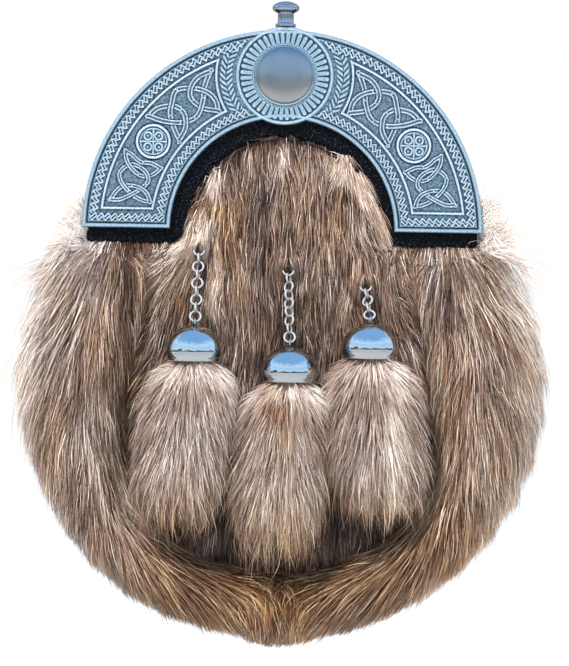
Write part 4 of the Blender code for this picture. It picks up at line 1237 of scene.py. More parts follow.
def add_hair(name, paths, widths, tone, warmth, beside=OUT, stands_for=None, root_light=0.0,
             material=BROWN_HAIR, slot="brown_fur"):
    """Tapering ribbons along the paths; widths, tone, warmth and root_light are per hair."""
    count, steps, _ = paths.shape
    tangents = unit(np.gradient(paths, axis=1))
    side = unit(np.cross(tangents, beside))
    turn = RANDOM.uniform(-HAIR_TWIST, HAIR_TWIST, (count, 1, 1))
    turn = turn + RANDOM.choice(ON_EDGE, (count, 1, 1))
    side = side * np.cos(turn) + np.cross(tangents, side) * np.sin(turn)
    way = np.linspace(0, 1, steps)
    taper = np.interp(way, HAIR_WAY, HAIR_TAPER)
    half = side[:, :-1] * (widths[:, None] * taper[None, :-1])[..., None] / 2
    points = alternate(paths[:, :-1] - half, paths[:, :-1] + half, paths[:, -1])
    per = points.shape[1]
    start = (np.arange(count) * per)[:, None]
    k = np.arange(steps - 2)[None, :]
    quads = np.stack([start + 2 * k, start + 2 * k + 1, start + 2 * k + 3, start + 2 * k + 2], -1)
    ends = start + per + np.array((-3, -2, -1))
    along = alternate(way[None, :-1], way[None, :-1], 1.0)
    tone = np.clip(tone, 0.02, 0.98)
    warmth = np.clip(warmth, 0, 1)
    pale_root = np.maximum(0.6 * ramp01(tone, 0.5, 0.8), root_light)
    colour = np.empty((count, per, 3))
    colour[:, :, 0] = tone[:, None]
    colour[:, :, 1] = warmth[:, None]
    colour[:, :, 2] = along + (1 - along) * pale_root[:, None]
    band = np.minimum((warmth * WARMTH_BANDS).astype(int), WARMTH_BANDS - 1)
    u = ((band + BAND_EDGE + tone * (1 - 2 * BAND_EDGE)) / WARMTH_BANDS)[:, None]
    u = np.tile(u, (1, steps - 1))
    u = alternate(u - HAIR_SPOT, u + HAIR_SPOT, u[:, 0])
    v = np.broadcast_to(along * 0.96 + 0.02, u.shape)
    add_piece(
        name, points.reshape(-1, 3), [quads.reshape(-1, 4), ends], material, slot, stands_for,
        colour.reshape(-1, 3), np.stack([u, v], -1).reshape(-1, 2),
    )


def spot(px, py):
    """x and rise of a place in the photo."""
    dx, dy = px - PHOTO_CENTRE[0], py - PHOTO_CENTRE[1]
    return PHOTO_SCALE * (dx + PHOTO_TILT * dy), -PHOTO_SCALE * (dy - PHOTO_TILT * dx)


def patch_share(x, rise, px, py, wide, tall):
    """1 at a place in the photo, falling off softly over the half sizes in photo units."""
    cx, cr = spot(px, py)
    return np.exp(-(((x - cx) / (wide * PHOTO_SCALE)) ** 2 + ((rise - cr) / (tall * PHOTO_SCALE)) ** 2))


def patches(x, rise, table):
    """Tone and warmth that soft patches add: photo x, y, half width, half height, tone, warmth."""
    tone, warmth = np.zeros_like(x), np.zeros_like(x)
    for px, py, wide, tall, more, warmer in table:
        share = patch_share(x, rise, px, py, wide, tall)
        tone += more * share
        warmth += warmer * share
    return tone, warmth


# Patches of each form, as patches() takes them. Most are the fur's own colour; the rows marked below are
# painted shade.
RUFF_PATCHES = (
    (62, 215, 26, 28, 0.26, -0.35),
    (48, 262, 26, 30, 0.10, -0.25),
    (26, 330, 14, 90, 0.12, -0.10),
    (84, 262, 34, 24, 0.08, -0.22),
    (93, 250, 8, 10, 0.24, 0.0),
    (30, 330, 20, 90, 0.16, -0.10),
    # Painted shade: this row and the next darken the valley between the front and the ruff on the left.
    (128, 300, 9, 40, -0.26, -0.05),
    (124, 372, 8, 40, -0.12, 0.05),
    (100, 340, 16, 44, 0.02, 0.16),
    (122, 380, 18, 60, -0.06, 0.20),
    (84, 450, 18, 26, 0.16, -0.18),
    # Painted shade in the left valley.
    (150, 440, 14, 60, -0.04, 0.0),
    (146, 300, 16, 40, -0.05, 0.32),
    (434, 330, 14, 40, -0.03, 0.14),
    (90, 560, 40, 30, 0.02, 0.18),
    (235, 605, 46, 22, 0.05, 0.34),
    (285, 596, 24, 20, -0.05, 0.52),
    (285, 590, 90, 40, -0.05, 0.10),
    (470, 505, 60, 72, -0.03, 0.42),
    # Painted shadow: this row and the next darken the ruff under the tassels.
    (186, 560, 18, 8, -0.16, 0.10),
    (250, 575, 18, 8, -0.14, 0.20),
    (500, 225, 26, 28, 0.40, -0.35),
    (522, 270, 20, 30, 0.22, -0.25),
    (450, 256, 8, 10, 0.30, -0.05),
    (470, 258, 10, 9, 0.30, -0.10),
    (496, 266, 12, 7, -0.20, 0.20),
    # Painted shade in the valley between the front and the ruff on the right.
    (446, 310, 7, 44, -0.20, 0.02),
    (480, 300, 14, 40, 0.00, 0.14),
    (534, 320, 18, 80, 0.14, -0.05),
    (430, 280, 9, 22, 0.06, -0.20),
    (455, 430, 20, 60, 0.04, 0.10),
    (485, 490, 28, 40, 0.08, -0.08),
    (400, 592, 60, 20, 0.03, 0.16),
    # Painted shadow under the right tassel.
    (405, 560, 30, 10, -0.12, 0.10),
)

FRONT_PATCHES = (
    # Painted shade: this row and the next two darken the fur round each bell.
    (198, 342, 32, 24, -0.14, 0.00),
    (289, 362, 32, 24, -0.14, 0.00),
    (370, 342, 32, 24, -0.14, 0.00),
    # Painted shade: this row and the next two darken the fur along each chain.
    (202, 290, 9, 44, -0.12, 0.00),
    (289, 310, 9, 44, -0.16, 0.00),
    (365, 305, 9, 26, -0.16, 0.00),
    (262, 200, 10, 40, -0.02, -0.10),
    (306, 190, 9, 30, 0.06, 0.05),
    (325, 215, 7, 30, -0.05, 0.05),
    (345, 160, 12, 9, 0.62, 0.00),
    (336, 173, 8, 12, 0.36, 0.03),
    (358, 180, 9, 16, 0.44, 0.04),
    (372, 203, 8, 18, 0.40, 0.06),
    (383, 226, 8, 16, 0.40, 0.08),
    (394, 250, 9, 12, 0.52, 0.05),
    (388, 276, 8, 14, 0.40, 0.12),
    (402, 262, 6, 10, 0.30, 0.10),
    (214, 174, 7, 8, 0.54, 0.00),
    (208, 187, 6, 12, 0.26, 0.05),
    (281, 159, 5, 11, 0.34, 0.00),
    (194, 232, 13, 10, 0.58, 0.10),
    (181, 246, 11, 8, 0.50, 0.10),
    (165, 264, 12, 7, 0.58, 0.05),
    (214, 216, 14, 20, 0.05, 0.40),
    (228, 250, 11, 28, 0.06, 0.36),
    (240, 286, 11, 24, 0.05, 0.34),
    (213, 294, 7, 22, 0.34, 0.22),
    (180, 300, 14, 20, 0.04, 0.34),
    (262, 240, 14, 50, -0.08, -0.20),
    (276, 300, 12, 30, -0.10, -0.05),
    (300, 240, 14, 30, 0.08, 0.16),
    (332, 240, 16, 36, 0.05, 0.18),
    (290, 345, 40, 30, -0.05, 0.08),
    # Painted shadow: this row and the next four darken the pockets under and between the tassels.
    (200, 527, 46, 17, -0.31, 0.00),
    (232, 520, 12, 36, -0.24, 0.00),
    (362, 527, 44, 17, -0.31, 0.00),
    (334, 520, 11, 36, -0.24, 0.00),
    (285, 566, 64, 11, -0.25, 0.00),
    (270, 235, 60, 50, -0.035, 0.10),
)

# Places where the front's hair leans or fans: photo x, y, half width, half height, lean, fan.
FRONT_COMBS = (
    (165, 262, 20, 16, -1.60, 0.0),
    (186, 242, 14, 12, -0.80, 0.0),
    (346, 168, 16, 18, 0.0, 0.80),
    (376, 212, 14, 36, 0.30, 0.0),
    (214, 184, 13, 15, -0.05, 0.60),
    (281, 168, 9, 14, 0.0, 0.50),
    (395, 262, 13, 20, 0.05, 0.80),
    (240, 250, 12, 40, 0.16, 0.0),
    (300, 270, 16, 40, -0.14, 0.0),
)

TASSEL_PATCHES = (
    (197, 368, 44, 14, 0.26, -0.08),
    (290, 389, 42, 11, 0.33, -0.03),
    (372, 368, 38, 12, 0.30, -0.05),
    (372, 450, 40, 60, -0.04, 0.02),
    (188, 480, 44, 50, -0.03, 0.03),
    (246, 396, 13, 13, 0.34, -0.04),
    (318, 394, 12, 14, 0.26, -0.06),
    (166, 374, 12, 12, 0.22, -0.06),
    (224, 374, 11, 12, 0.22, -0.06),
    (400, 376, 11, 16, 0.24, 0.00),
    (275, 402, 9, 14, -0.10, 0.42),
    (283, 430, 10, 24, -0.04, 0.34),
    (205, 430, 34, 40, 0.02, -0.14),
    (350, 430, 14, 40, -0.02, -0.10),
    (389, 440, 7, 64, 0.22, 0.02),
    (392, 496, 12, 12, 0.16, 0.18),
    (188, 494, 40, 20, 0.00, 0.34),
    (285, 520, 40, 34, 0.02, 0.44),
    (378, 496, 36, 20, 0.04, 0.28),
)


def place_of(points):
    """x and rise of points."""
    return points[:, 0], points[:, 2] - ARC_Z


def ruff_place(points):
    """x, rise, bearing from straight down, reach, and share of the way from valley to outline."""
    x, rise = place_of(points)
    bearing = np.arctan2(x, -(rise - LOW_RISE))
    reach = np.hypot(x, rise - LOW_RISE)
    valley = np.interp(np.abs(np.degrees(bearing)), VALLEY_ANGLES, VALLEY_REACHES)
    share = (reach - valley) / (RUFF_REACH - valley)
    return x, rise, bearing, reach, np.clip(share, -0.5, 1.3)


def turned(fx, fz, angle):
    """Unit directions in the picture's plane, turned by the angle."""
    c, s = np.cos(angle), np.sin(angle)
    return unit(np.stack([fx * c - fz * s, np.zeros_like(fx), fx * s + fz * c], -1))


def tip_reach(bearing):
    """How far from the low centre the hair tips reach, by the bearing in radians."""
    return np.interp(np.degrees(bearing), TIP_BEARINGS, TIP_REACHES)


def ruff_flow(points):
    """Down and a little outward at the sides; along the valley and down at the bottom."""
    x, rise, bearing, _, share = ruff_place(points)
    sign = np.sign(bearing)
    size = np.abs(np.degrees(bearing))
    outer = np.clip(share, 0, 1)
    inner = 1 - outer
    shoulder = ramp01(size, 98, 116) * ramp01(share, 0.30, 0.9)
    behind = ramp01(rise, -6, 4)
    side_x = sign * (0.55 * outer**1.2 - 0.10 + 0.30 * shoulder + 0.5 * behind)
    side_z = -1 + 0.10 * shoulder + 0.5 * behind
    sweep = 1.3 * inner * ramp01(size, 3, 20)
    out = 0.22 + 0.25 * outer
    low_x = out * np.sin(bearing) - sweep * sign * np.cos(bearing)
    low_z = -out * np.cos(bearing) - sweep * np.abs(np.sin(bearing)) - 0.75 + 0.6 * inner
    mix = ramp01(size, 38, 70)
    size_low = np.hypot(low_x, low_z)
    fx = low_x / size_low * (1 - mix) + side_x * mix
    fz = low_z / size_low * (1 - mix) + side_z * mix
    return turned(fx, fz, 0.15 * ripple(x, rise, 38.0, 1) + 0.10 * ripple(x, rise, 15.0, 2))


def ruff_look(points):
    """Tone and warmth of the ruff by place."""
    x, rise, bearing, _, share = ruff_place(points)
    size = np.abs(np.degrees(bearing))
    more, warmer = patches(x, rise, RUFF_PATCHES)
    tone = RUFF_TONE + more + 0.05 * ripple(x, rise, 26.0, 5) + 0.06 * np.clip(share - 0.6, -0.4, 0.4)
    tone -= 0.09 * (1 - ramp01(size, 15, 50))
    rim = ramp01(share, 0.72, 1.02) * ramp01(size, 25, 70)
    high = ramp01(rise, -10, 4) * ramp01(share, 0.5, 0.9)
    tone += 0.23 * rim + 0.14 * high + 0.06 * ripple(x, rise, 7.0, 1) * (rim + high)
    # Painted light: a lighter band along the valley between the front and the ruff, against its shade.
    tone += 0.11 * hump(share, 0.15) * ramp01(size, 25, 50)
    warmth = RUFF_WARMTH + warmer + 0.18 * ripple(x, rise, 44.0, 0) - 0.20 * rim - 0.3 * high
    warmth += 0.34 * (1 - ramp01(size, 20, 60))
    return tone, warmth


def front_look(points):
    """Tone and warmth of the front's fur by place."""
    x, rise = place_of(points)
    more, warmer = patches(x, rise, FRONT_PATCHES)
    tone = FRONT_TONE + FRONT_PATCH_TONE * more + 0.06 * ripple(x, rise, 18.0, 5)
    tone = tone + 0.03 * ramp01(-rise, 30, 60)
    tone += 0.05 * ripple(x, rise * 0.4, 8.0, 3)
    warmth = FRONT_WARMTH + FRONT_PATCH_WARMTH * warmer + 0.16 * ripple(x, rise, 30.0, 0)
    return tone, warmth


def front_flow(points):
    """Down, spreading a little at the sides, and combed aside in places."""
    x, rise = place_of(points)
    lean = 0.45 * np.clip(x / 55, -1, 1) * ramp01(np.abs(x), 22, 50) * ramp01(-rise, -30, 0)
    for px, py, wide, tall, more, fan in FRONT_COMBS:
        share = patch_share(x, rise, px, py, wide, tall)
        lean = lean + share * (more + fan * (x - spot(px, py)[0]) / (wide * PHOTO_SCALE))
    return turned(lean, -np.ones_like(x), 0.13 * ripple(x, rise, 30.0, 3) + 0.10 * ripple(x, rise, 11.0, 4))


def add_undercoat(name, skin, material, slot, node, look):
    """The fur's form under its long hair, on which the hair is rooted; look gives tone and warmth."""
    tone, warmth = look(skin.points)
    tone = np.clip(tone * COAT_TONE, 0.02, 0.95)
    colour = np.stack([tone, np.clip(warmth, 0, 1), np.ones_like(tone)], -1)
    add_piece(name, skin.points, [skin.triangles], material, slot, node, colour)


def draw_in_ruff(points):
    """Keeps the undercoat inside the hair's tips."""
    _, _, bearing, reach, share = ruff_place(points)
    limit = tip_reach(bearing) - 3.0
    scale = np.where((share > 0.5) & (reach > limit), limit / reach, 1.0)
    made = points.copy()
    made[:, 0] *= scale
    made[:, 2] = ARC_Z + LOW_RISE + (points[:, 2] - ARC_Z - LOW_RISE) * scale
    return made


def build_ruff():
    """Long hair round the pouch, in four pieces by bearing."""
    skin = Skin("fur_ruff", RUFF_DEPTH, draw_in_ruff)
    add_undercoat("ruff_undercoat", skin, BROWN_COAT, "brown_fur", "fur_ruff", ruff_look)

    def density(points, normals):
        share = ruff_place(points)[4]
        front = np.where(normals[:, 1] < 0.25, 1.0, 0.30)
        hidden = (normals[:, 1] > 0.2) & (share < 0.15)
        return front * np.where(hidden, 0.05, 1.0)

    roots, normals = skin.scatter(RUFF_HAIRS, density)
    count = len(roots)
    _, rise, bearing, reach, _ = ruff_place(roots)
    flow = ruff_flow(roots)
    outward = np.clip(flow[:, 0] * np.sin(bearing) - flow[:, 2] * np.cos(bearing), 0.25, 1)
    wisps = np.where(RANDOM.random(count) < 0.20, RANDOM.gamma(2.0, 1.4, count), 0)
    limit = (tip_reach(bearing) - reach - 4.5 * RANDOM.random(count) ** 2 + wisps) / outward
    lengths = hair_lengths(count, *RUFF_LENGTHS)
    least = 3.0 + 6.0 * ramp01(rise, -6, 4)
    lengths = np.clip(np.minimum(lengths, limit), least, None)
    depth = RANDOM.random(count)
    paths, beside = grow(skin, roots, normals, ruff_flow, lengths, arch(0.4 + 2.7 * depth**1.2, 0.8))
    paths, owner = clump(paths, roots, 8, LOCK_PULL)
    tone, warmth = body_tones(ruff_look, paths, owner, depth, 0.26)
    widths = RANDOM.uniform(*RUFF_THICK, count)
    quarter = np.digitize(np.degrees(bearing), (-60, 0, 60))
    for n in range(4):
        pick = quarter == n
        add_hair(f"ruff_hair_{n + 1}", paths[pick], widths[pick], tone[pick], warmth[pick],
                 beside[pick], "fur_ruff")
    return skin


def build_front():
    """Shorter hair on the front panel."""
    skin = Skin("front_fur", FRONT_DEPTH)

    def coat_look(points):
        tone, warmth = front_look(points)
        # Painted shade: the undercoat's upturned top edge under the felt is darkened nearly to black.
        rim = ramp01(skin.normals[:, 2], 0.10, 0.35) * ramp01(skin.normals[:, 1], -0.90, -0.70)
        return tone * (1 - 0.93 * rim), warmth * (1 - rim)

    add_undercoat("front_undercoat", skin, BROWN_COAT, "brown_fur", "front_fur", coat_look)

    def density(_, normals):
        over = (normals[:, 2] > 0.30) & (normals[:, 1] > -0.85)
        return np.where((normals[:, 1] < 0.3) & ~over, 1.0, 0.02)

    roots, normals = skin.scatter(FRONT_HAIRS, density)
    count = len(roots)
    lengths = hair_lengths(count, *FRONT_LENGTHS)
    depth = RANDOM.random(count)
    lift = arch(0.25 + 1.6 * depth**1.3, 0.9)
    paths, beside = grow(skin, roots, normals, front_flow, lengths, lift, bury=0.4, jitter=0.16)
    paths, owner = clump(paths, roots, 6, LOCK_PULL)
    tone, warmth = body_tones(front_look, paths, owner, depth, 0.24)
    widths = RANDOM.uniform(*FRONT_THICK, count)
    add_hair("front_hair", paths, widths, tone, warmth, beside, "front_fur")
    build_front_edge(skin)
    return skin


def build_front_edge(skin):
    """Short hair that stands up over the top edge of the front's fur and falls back down."""

    def density(points, normals):
        edge = (normals[:, 2] > 0.12) & (normals[:, 1] < -0.30) & (points[:, 2] > ARC_Z - 6)
        return np.where(edge, 1.0, 0.0)

    roots, normals = skin.scatter(EDGE_HAIRS, density)
    count = len(roots)
    up = unit(normals * (1.0, 0.0, 1.0))
    fall = front_flow(roots)
    stand = RANDOM.uniform(0.2, 1.5, count)[:, None]
    length = RANDOM.uniform(3.0, 6.5, count)[:, None]
    first = roots + up * stand + OUT * 0.5 + fall * 0.4
    second = first + fall * length * 0.45 + OUT * 0.7 + up * stand * 0.1
    last = second + fall * length * 0.55 - OUT * 0.25
    paths = np.stack([roots - normals * 0.4, first, second, last], 1)
    paths[:, 1:] += RANDOM.normal(0, 0.16, (count, 3, 3)) * np.array((1.0, 0.4, 1.0))
    tone, warmth = front_look(roots)
    widths = RANDOM.uniform(*FRONT_THICK, count)
    tone = tone + strand_tones(count, 0.11)
    warmth = warmth + RANDOM.normal(0, 0.15, count)
    add_hair("front_edge_hair", paths, widths, tone, warmth, stands_for="front_fur")


def fur_front(skins, x, z, default):
    """The y of the foremost of some forms at x and z."""
    return np.minimum.reduce([skin.front(x, z, default) for skin in skins])


def build_felt_edge_fur(skins):
    """Hair that comes out from under the felt's lower edges and lies over the fur below."""
    steps = 5
    count = FELT_EDGE_HAIRS
    side = np.where(np.arange(count) % 2 == 0, -1, 1)
    x = side * (FELT_END_INNER + FELT_END_WIDTH * RANDOM.random(count))
    z = ARC_Z + FELT_END + RANDOM.uniform(0.3, 1.6, count)
    lean = np.interp(np.abs(x), FELT_LEAN_PLACES, FELT_LEANS)
    lean = side * lean + 0.28 * ripple(x, x * 0.0, 6.0, 3) + RANDOM.normal(0, 0.12, count)
    step = hair_lengths(count, *FELT_EDGE_LENGTHS) / (steps - 1)
    cover = 0.5 + 2.6 * RANDOM.random(count) ** 1.3
    x_now, z_now = x, z
    path = [np.stack([x, np.full(count, -25.2), z], -1)]
    for k in range(1, steps):
        place = np.stack([x_now, np.full(count, -30.0), z_now], -1)
        flow = np.where(np.abs(x_now)[:, None] < 50, front_flow(place), ruff_flow(place))
        keep = max(0.0, 1.0 - 0.31 * k)
        way_x = flow[:, 0] * (1 - keep) + lean * keep + RANDOM.normal(0, 0.10, count)
        way_z = flow[:, 2] * (1 - keep) - keep
        size = np.hypot(way_x, way_z)
        x_now = x_now + way_x / size * step
        z_now = z_now + way_z / size * step
        ground = fur_front(skins, x_now, z_now, -26.0)
        start = np.interp(ARC_Z + FELT_END - z_now, (0.0, 4.0), (0.3, 1.0))
        path.append(np.stack([x_now, np.minimum(ground, -27.0) - cover * start, z_now], -1))
    paths = np.stack(path, 1)
    more, warmer = patches(*place_of(paths[:, 2]), RUFF_PATCHES)
    end = ramp01(np.abs(x), 66, 76)
    tone = FELT_EDGE_TONE + strand_tones(count, 0.13) + more + 0.20 * end
    tone += 0.07 * ripple(x, x * 0.0, 9.0, 2)
    warmth = RUFF_WARMTH + warmer + RANDOM.normal(0, WARMTH_SPREAD, count) - 0.2 * end
    add_hair("felt_edge_fur", paths, RANDOM.uniform(*THICK, count), tone, warmth)


# Tufts of pale hair: photo start and end, half widths there, hairs, tone, warmth.
TUFTS = (
    (207, 229, 172, 258, 5, 7, 520, 0.84, 0.30),
    (194, 242, 147, 272, 4, 5, 480, 0.92, 0.20),
    (206, 222, 204, 246, 4, 6, 200, 0.78, 0.30),
    (190, 250, 160, 282, 6, 8, 240, 0.52, 0.45),
    (212, 236, 216, 275, 5, 7, 260, 0.55, 0.40),
    (345, 153, 343, 182, 4, 13, 420, 0.70, 0.32),
    (356, 170, 370, 205, 5, 9, 300, 0.66, 0.28),
    (371, 200, 385, 240, 5, 7, 280, 0.60, 0.32),
    (396, 247, 385, 280, 4, 8, 240, 0.66, 0.34),
    (400, 252, 404, 284, 4, 6, 160, 0.56, 0.40),
    (217, 168, 213, 196, 3, 7, 230, 0.70, 0.22),
    (281, 150, 281, 176, 3, 6, 150, 0.64, 0.16),
    (350, 285, 342, 320, 4, 7, 160, 0.52, 0.45),
    (213, 275, 211, 312, 4, 6, 220, 0.58, 0.45),
    (448, 250, 440, 285, 4, 7, 200, 0.60, 0.05),
    (470, 252, 474, 292, 6, 9, 260, 0.64, 0.05),
    (96, 246, 92, 300, 6, 12, 380, 0.62, 0.05),
    (85, 236, 62, 218, 12, 15, 620, 0.96, 0.00),
    (83, 216, 68, 198, 9, 10, 420, 0.98, 0.00),
    (85, 248, 50, 240, 7, 13, 520, 0.92, 0.00),
    (80, 252, 36, 274, 5, 12, 420, 0.80, 0.02),
    (480, 236, 503, 218, 12, 15, 620, 0.96, 0.00),
    (482, 214, 497, 198, 9, 10, 420, 0.98, 0.00),
    (480, 248, 514, 240, 7, 13, 520, 0.92, 0.00),
    (486, 252, 528, 274, 5, 12, 420, 0.84, 0.02),
)


def joined(rows):
    """Joins the arrays of each column of some rows."""
    return [np.concatenate(column) for column in zip(*rows)]


def pale_tuft(row, skins):
    """Paths, widths, tones and warmths of one row of TUFTS."""
    x0, y0, x1, y1, wide0, wide1, count, tone, warmth = row
    airy = 1.0 if warmth < AIRY_WARMTH else 0.0
    start, end = np.array(spot(x0, y0)), np.array(spot(x1, y1))
    along = (end - start) / np.linalg.norm(end - start)
    across = np.array((along[1], -along[0]))
    off = RANDOM.normal(0, 0.55, count)[:, None]
    shift = RANDOM.uniform(-0.15, 0.35, count)[:, None]
    reach = RANDOM.uniform(0.5, 1.1, count)[:, None]
    first = start + across * off * wide0 * PHOTO_SCALE + (end - start) * (shift + 0.12)
    last = first + (end - start) * reach + across * off * (wide1 - wide0) * PHOTO_SCALE
    last = last + RANDOM.normal(0, 0.5 + 1.9 * airy, (count, 2))
    cover = RANDOM.uniform(1.0, 3.0, count)
    path = []
    for share, high in TUFT_STEPS:
        bend = (share - share * share) * RANDOM.normal(0, 1.2 + 2.5 * airy, (count, 1))
        place = first * (1 - share) + last * share + across * bend
        x, z = place[:, 0], place[:, 1] + ARC_Z
        path.append(np.stack([x, fur_front(skins, x, z, -27.0) - cover * high, z], -1))
    tones = tone + strand_tones(count, 0.10)
    warmths = warmth + RANDOM.normal(0, 0.12, count)
    widths = RANDOM.uniform(*TUFT_THICK, count) * (1 - 0.35 * airy)
    return np.stack(path, 1), widths, tones, warmths


def build_tufts(skins):
    """Pale tufts over the front, the shoulders and the ruff's inner edge."""
    add_hair("pale_tufts", *joined(pale_tuft(row, skins) for row in TUFTS))


def staple_tuft(row, skin):
    """Paths, tones and warmths of the hair over a staple, parted where the chain comes out."""
    name, tone, warmth, lean = row
    count = STAPLE_HAIRS
    centre, low, high = box_of("chain_staple_" + name)
    off = RANDOM.normal(0, 2.2, count)
    above = 0.5 + 9.0 * RANDOM.random(count) ** 1.3
    x = centre[0] + off * (1 - 0.04 * above) - lean * above
    z = high[2] + above
    part = np.sign(off) * RANDOM.uniform(0.6, 3.2, count) * hump(off, 2.5)
    end_x = centre[0] + off * 1.2 + part + lean * 3.0
    end_z = centre[2] - RANDOM.uniform(-1.0, 8.0, count)
    ground = skin.front(x, z, -33.0)
    tips = skin.front(end_x, end_z, -33.0)
    near = hump(off, 3.2)
    crest = (low[1] - 0.3 - RANDOM.uniform(0.0, 1.1, count)) * near + (ground - 2.0) * (1 - near)
    path = np.stack([
        np.stack([x, ground + 0.4, z], -1),
        np.stack([x * 0.9 + end_x * 0.1, (ground + crest) / 2 - 0.6, z * 0.6 + high[2] * 0.4], -1),
        np.stack([x * 0.7 + end_x * 0.3, crest, np.full(count, high[2] - 0.6)], -1),
        np.stack([x * 0.3 + end_x * 0.7, crest + 0.3, np.full(count, centre[2] - 0.6)], -1),
        np.stack([end_x, tips - 1.2, end_z - 1.0], -1),
    ], 1)
    tones = tone + strand_tones(count, 0.16)
    return path, tones, warmth + RANDOM.normal(0, 0.12, count)


def build_staple_tufts(skin):
    """Hair combed over each chain's staple."""
    paths, tones, warmths = joined(staple_tuft(row, skin) for row in STAPLE_TUFTS)
    add_hair("staple_tufts", paths, RANDOM.uniform(*THICK, len(paths)), tones, warmths)


class Tassel:
    """A bell's hair: where it hangs, how it looks and how it flows."""

    def __init__(self, name):
        self.node = "tassel_" + name
        _, (_, _, self.bottom), (_, _, self.top) = box_of(self.node)
        (self.bell_x, _, _), (_, _, self.bell_base), _ = box_of("bell_" + name)
        self.skin = Skin(self.node, TASSEL_DEPTH, self.shaped)
        low = self.skin.points[:, 2] < self.bottom + 20
        self.foot_x = self.skin.points[low, 0].mean()

    def shaped(self, points):
        """Draws in the form at its foot and body, and widens it at its shoulder."""
        high = points[:, 2] - points[:, 2].min()
        drawn = TASSEL_FOOT_DRAWN + high * (TASSEL_FOOT - TASSEL_FOOT_DRAWN) / TASSEL_FOOT
        made = points.copy()
        made[:, 2] = points[:, 2].min() + np.where(high < TASSEL_FOOT, drawn, high)
        low_x = points[high < 20.0, 0]
        heart = (low_x.min() + low_x.max()) / 2
        down = self.bell_base - points[:, 2]
        heart = np.interp(down, (0.0, TASSEL_DROP), (self.bell_x, heart))
        shoulder = ramp01(down, 0.5, 5.0) * (1 - ramp01(down, 10.0, 34.0))
        body = ramp01(down, 4.0, 14.0)
        drawn_in = 1 - ramp01(high, 0.0, 22.0)
        wider = 0.22 * shoulder - 0.08 * body - 0.12 * drawn_in
        made[:, 0] = heart + (points[:, 0] - heart) * (1 + wider)
        return made

    def aside(self, points):
        """How far to the right of the tassel's middle line points lie."""
        return points[:, 0] - np.interp(points[:, 2], (self.bottom, self.top), (self.foot_x, self.bell_x))

    def drop(self, points):
        """Share of the way down from the bell."""
        return np.clip((self.bell_base - points[:, 2]) / TASSEL_DROP, 0, 1)

    def look(self, points):
        """Tone and warmth by place."""
        drop = self.drop(points)
        more, warmer = patches(*place_of(points), TASSEL_PATCHES)
        side = ramp01(np.abs(self.aside(points)), 10, 16) * ramp01(drop, 0.22, 0.45)
        tone = TASSEL_TONE + more - 0.10 * side - 0.04 * ramp01(drop, 0.65, 1.0)
        return tone, TASSEL_WARMTH + warmer

    def coat_look(self, points):
        """The same for the undercoat, with painted shade low down between the locks' ends."""
        tone, warmth = self.look(points)
        return tone - 0.30 * ramp01(self.drop(points), 0.62, 0.77), warmth

    def flow(self, points):
        """Down, fanning out below the bell."""
        x, z = points[:, 0], points[:, 2]
        side = self.aside(points) / 16.0
        drop = self.drop(points)
        fan = 0.46 * side * (1 - 0.9 * ramp01(drop, 0.55, 1.0)) + 0.30 * side * (1 - drop)
        depth_out = 0.10 * np.sign(points[:, 1] - BELL_Y)
        wave = 0.07 * ripple(x, z, 16.0, 3) + 0.05 * ripple(x, z, 7.0, 4)
        return unit(np.stack([fan + wave, depth_out, -np.ones_like(x)], -1))

    def density(self, points, normals):
        """No hair inside the bell, and less behind."""
        hidden = points[:, 2] > self.bell_base + 1.2
        return np.where(hidden, 0.0, np.where(normals[:, 1] > 0.3, 0.40, 1.0))

    def trimmed(self, roots, paths, stray):
        """Ends the hairs at an uneven lower edge, higher at the corners; strays hang past it."""
        owner = clump(paths, roots, 7, 0.30)[1]
        floor = self.bottom + 1.2 + 10.0 * RANDOM.beta(1.2, 1.6, owner.max() + 1)[owner]
        floor += RANDOM.normal(0, 1.6, len(roots))
        corner = np.clip(np.abs(self.aside(roots)) / 15.0, 0, 1.2)
        floor += 0.6 + 3.8 * corner**2 - (11.0 - 2.5 * corner) * stray
        room = (roots[:, 2] - floor) / np.maximum(roots[:, 2] - paths[:, -1, 2], 0.5)
        room = np.clip(room, 0.15, 1.0)[:, None, None]
        return roots[:, None] + (paths - roots[:, None]) * room


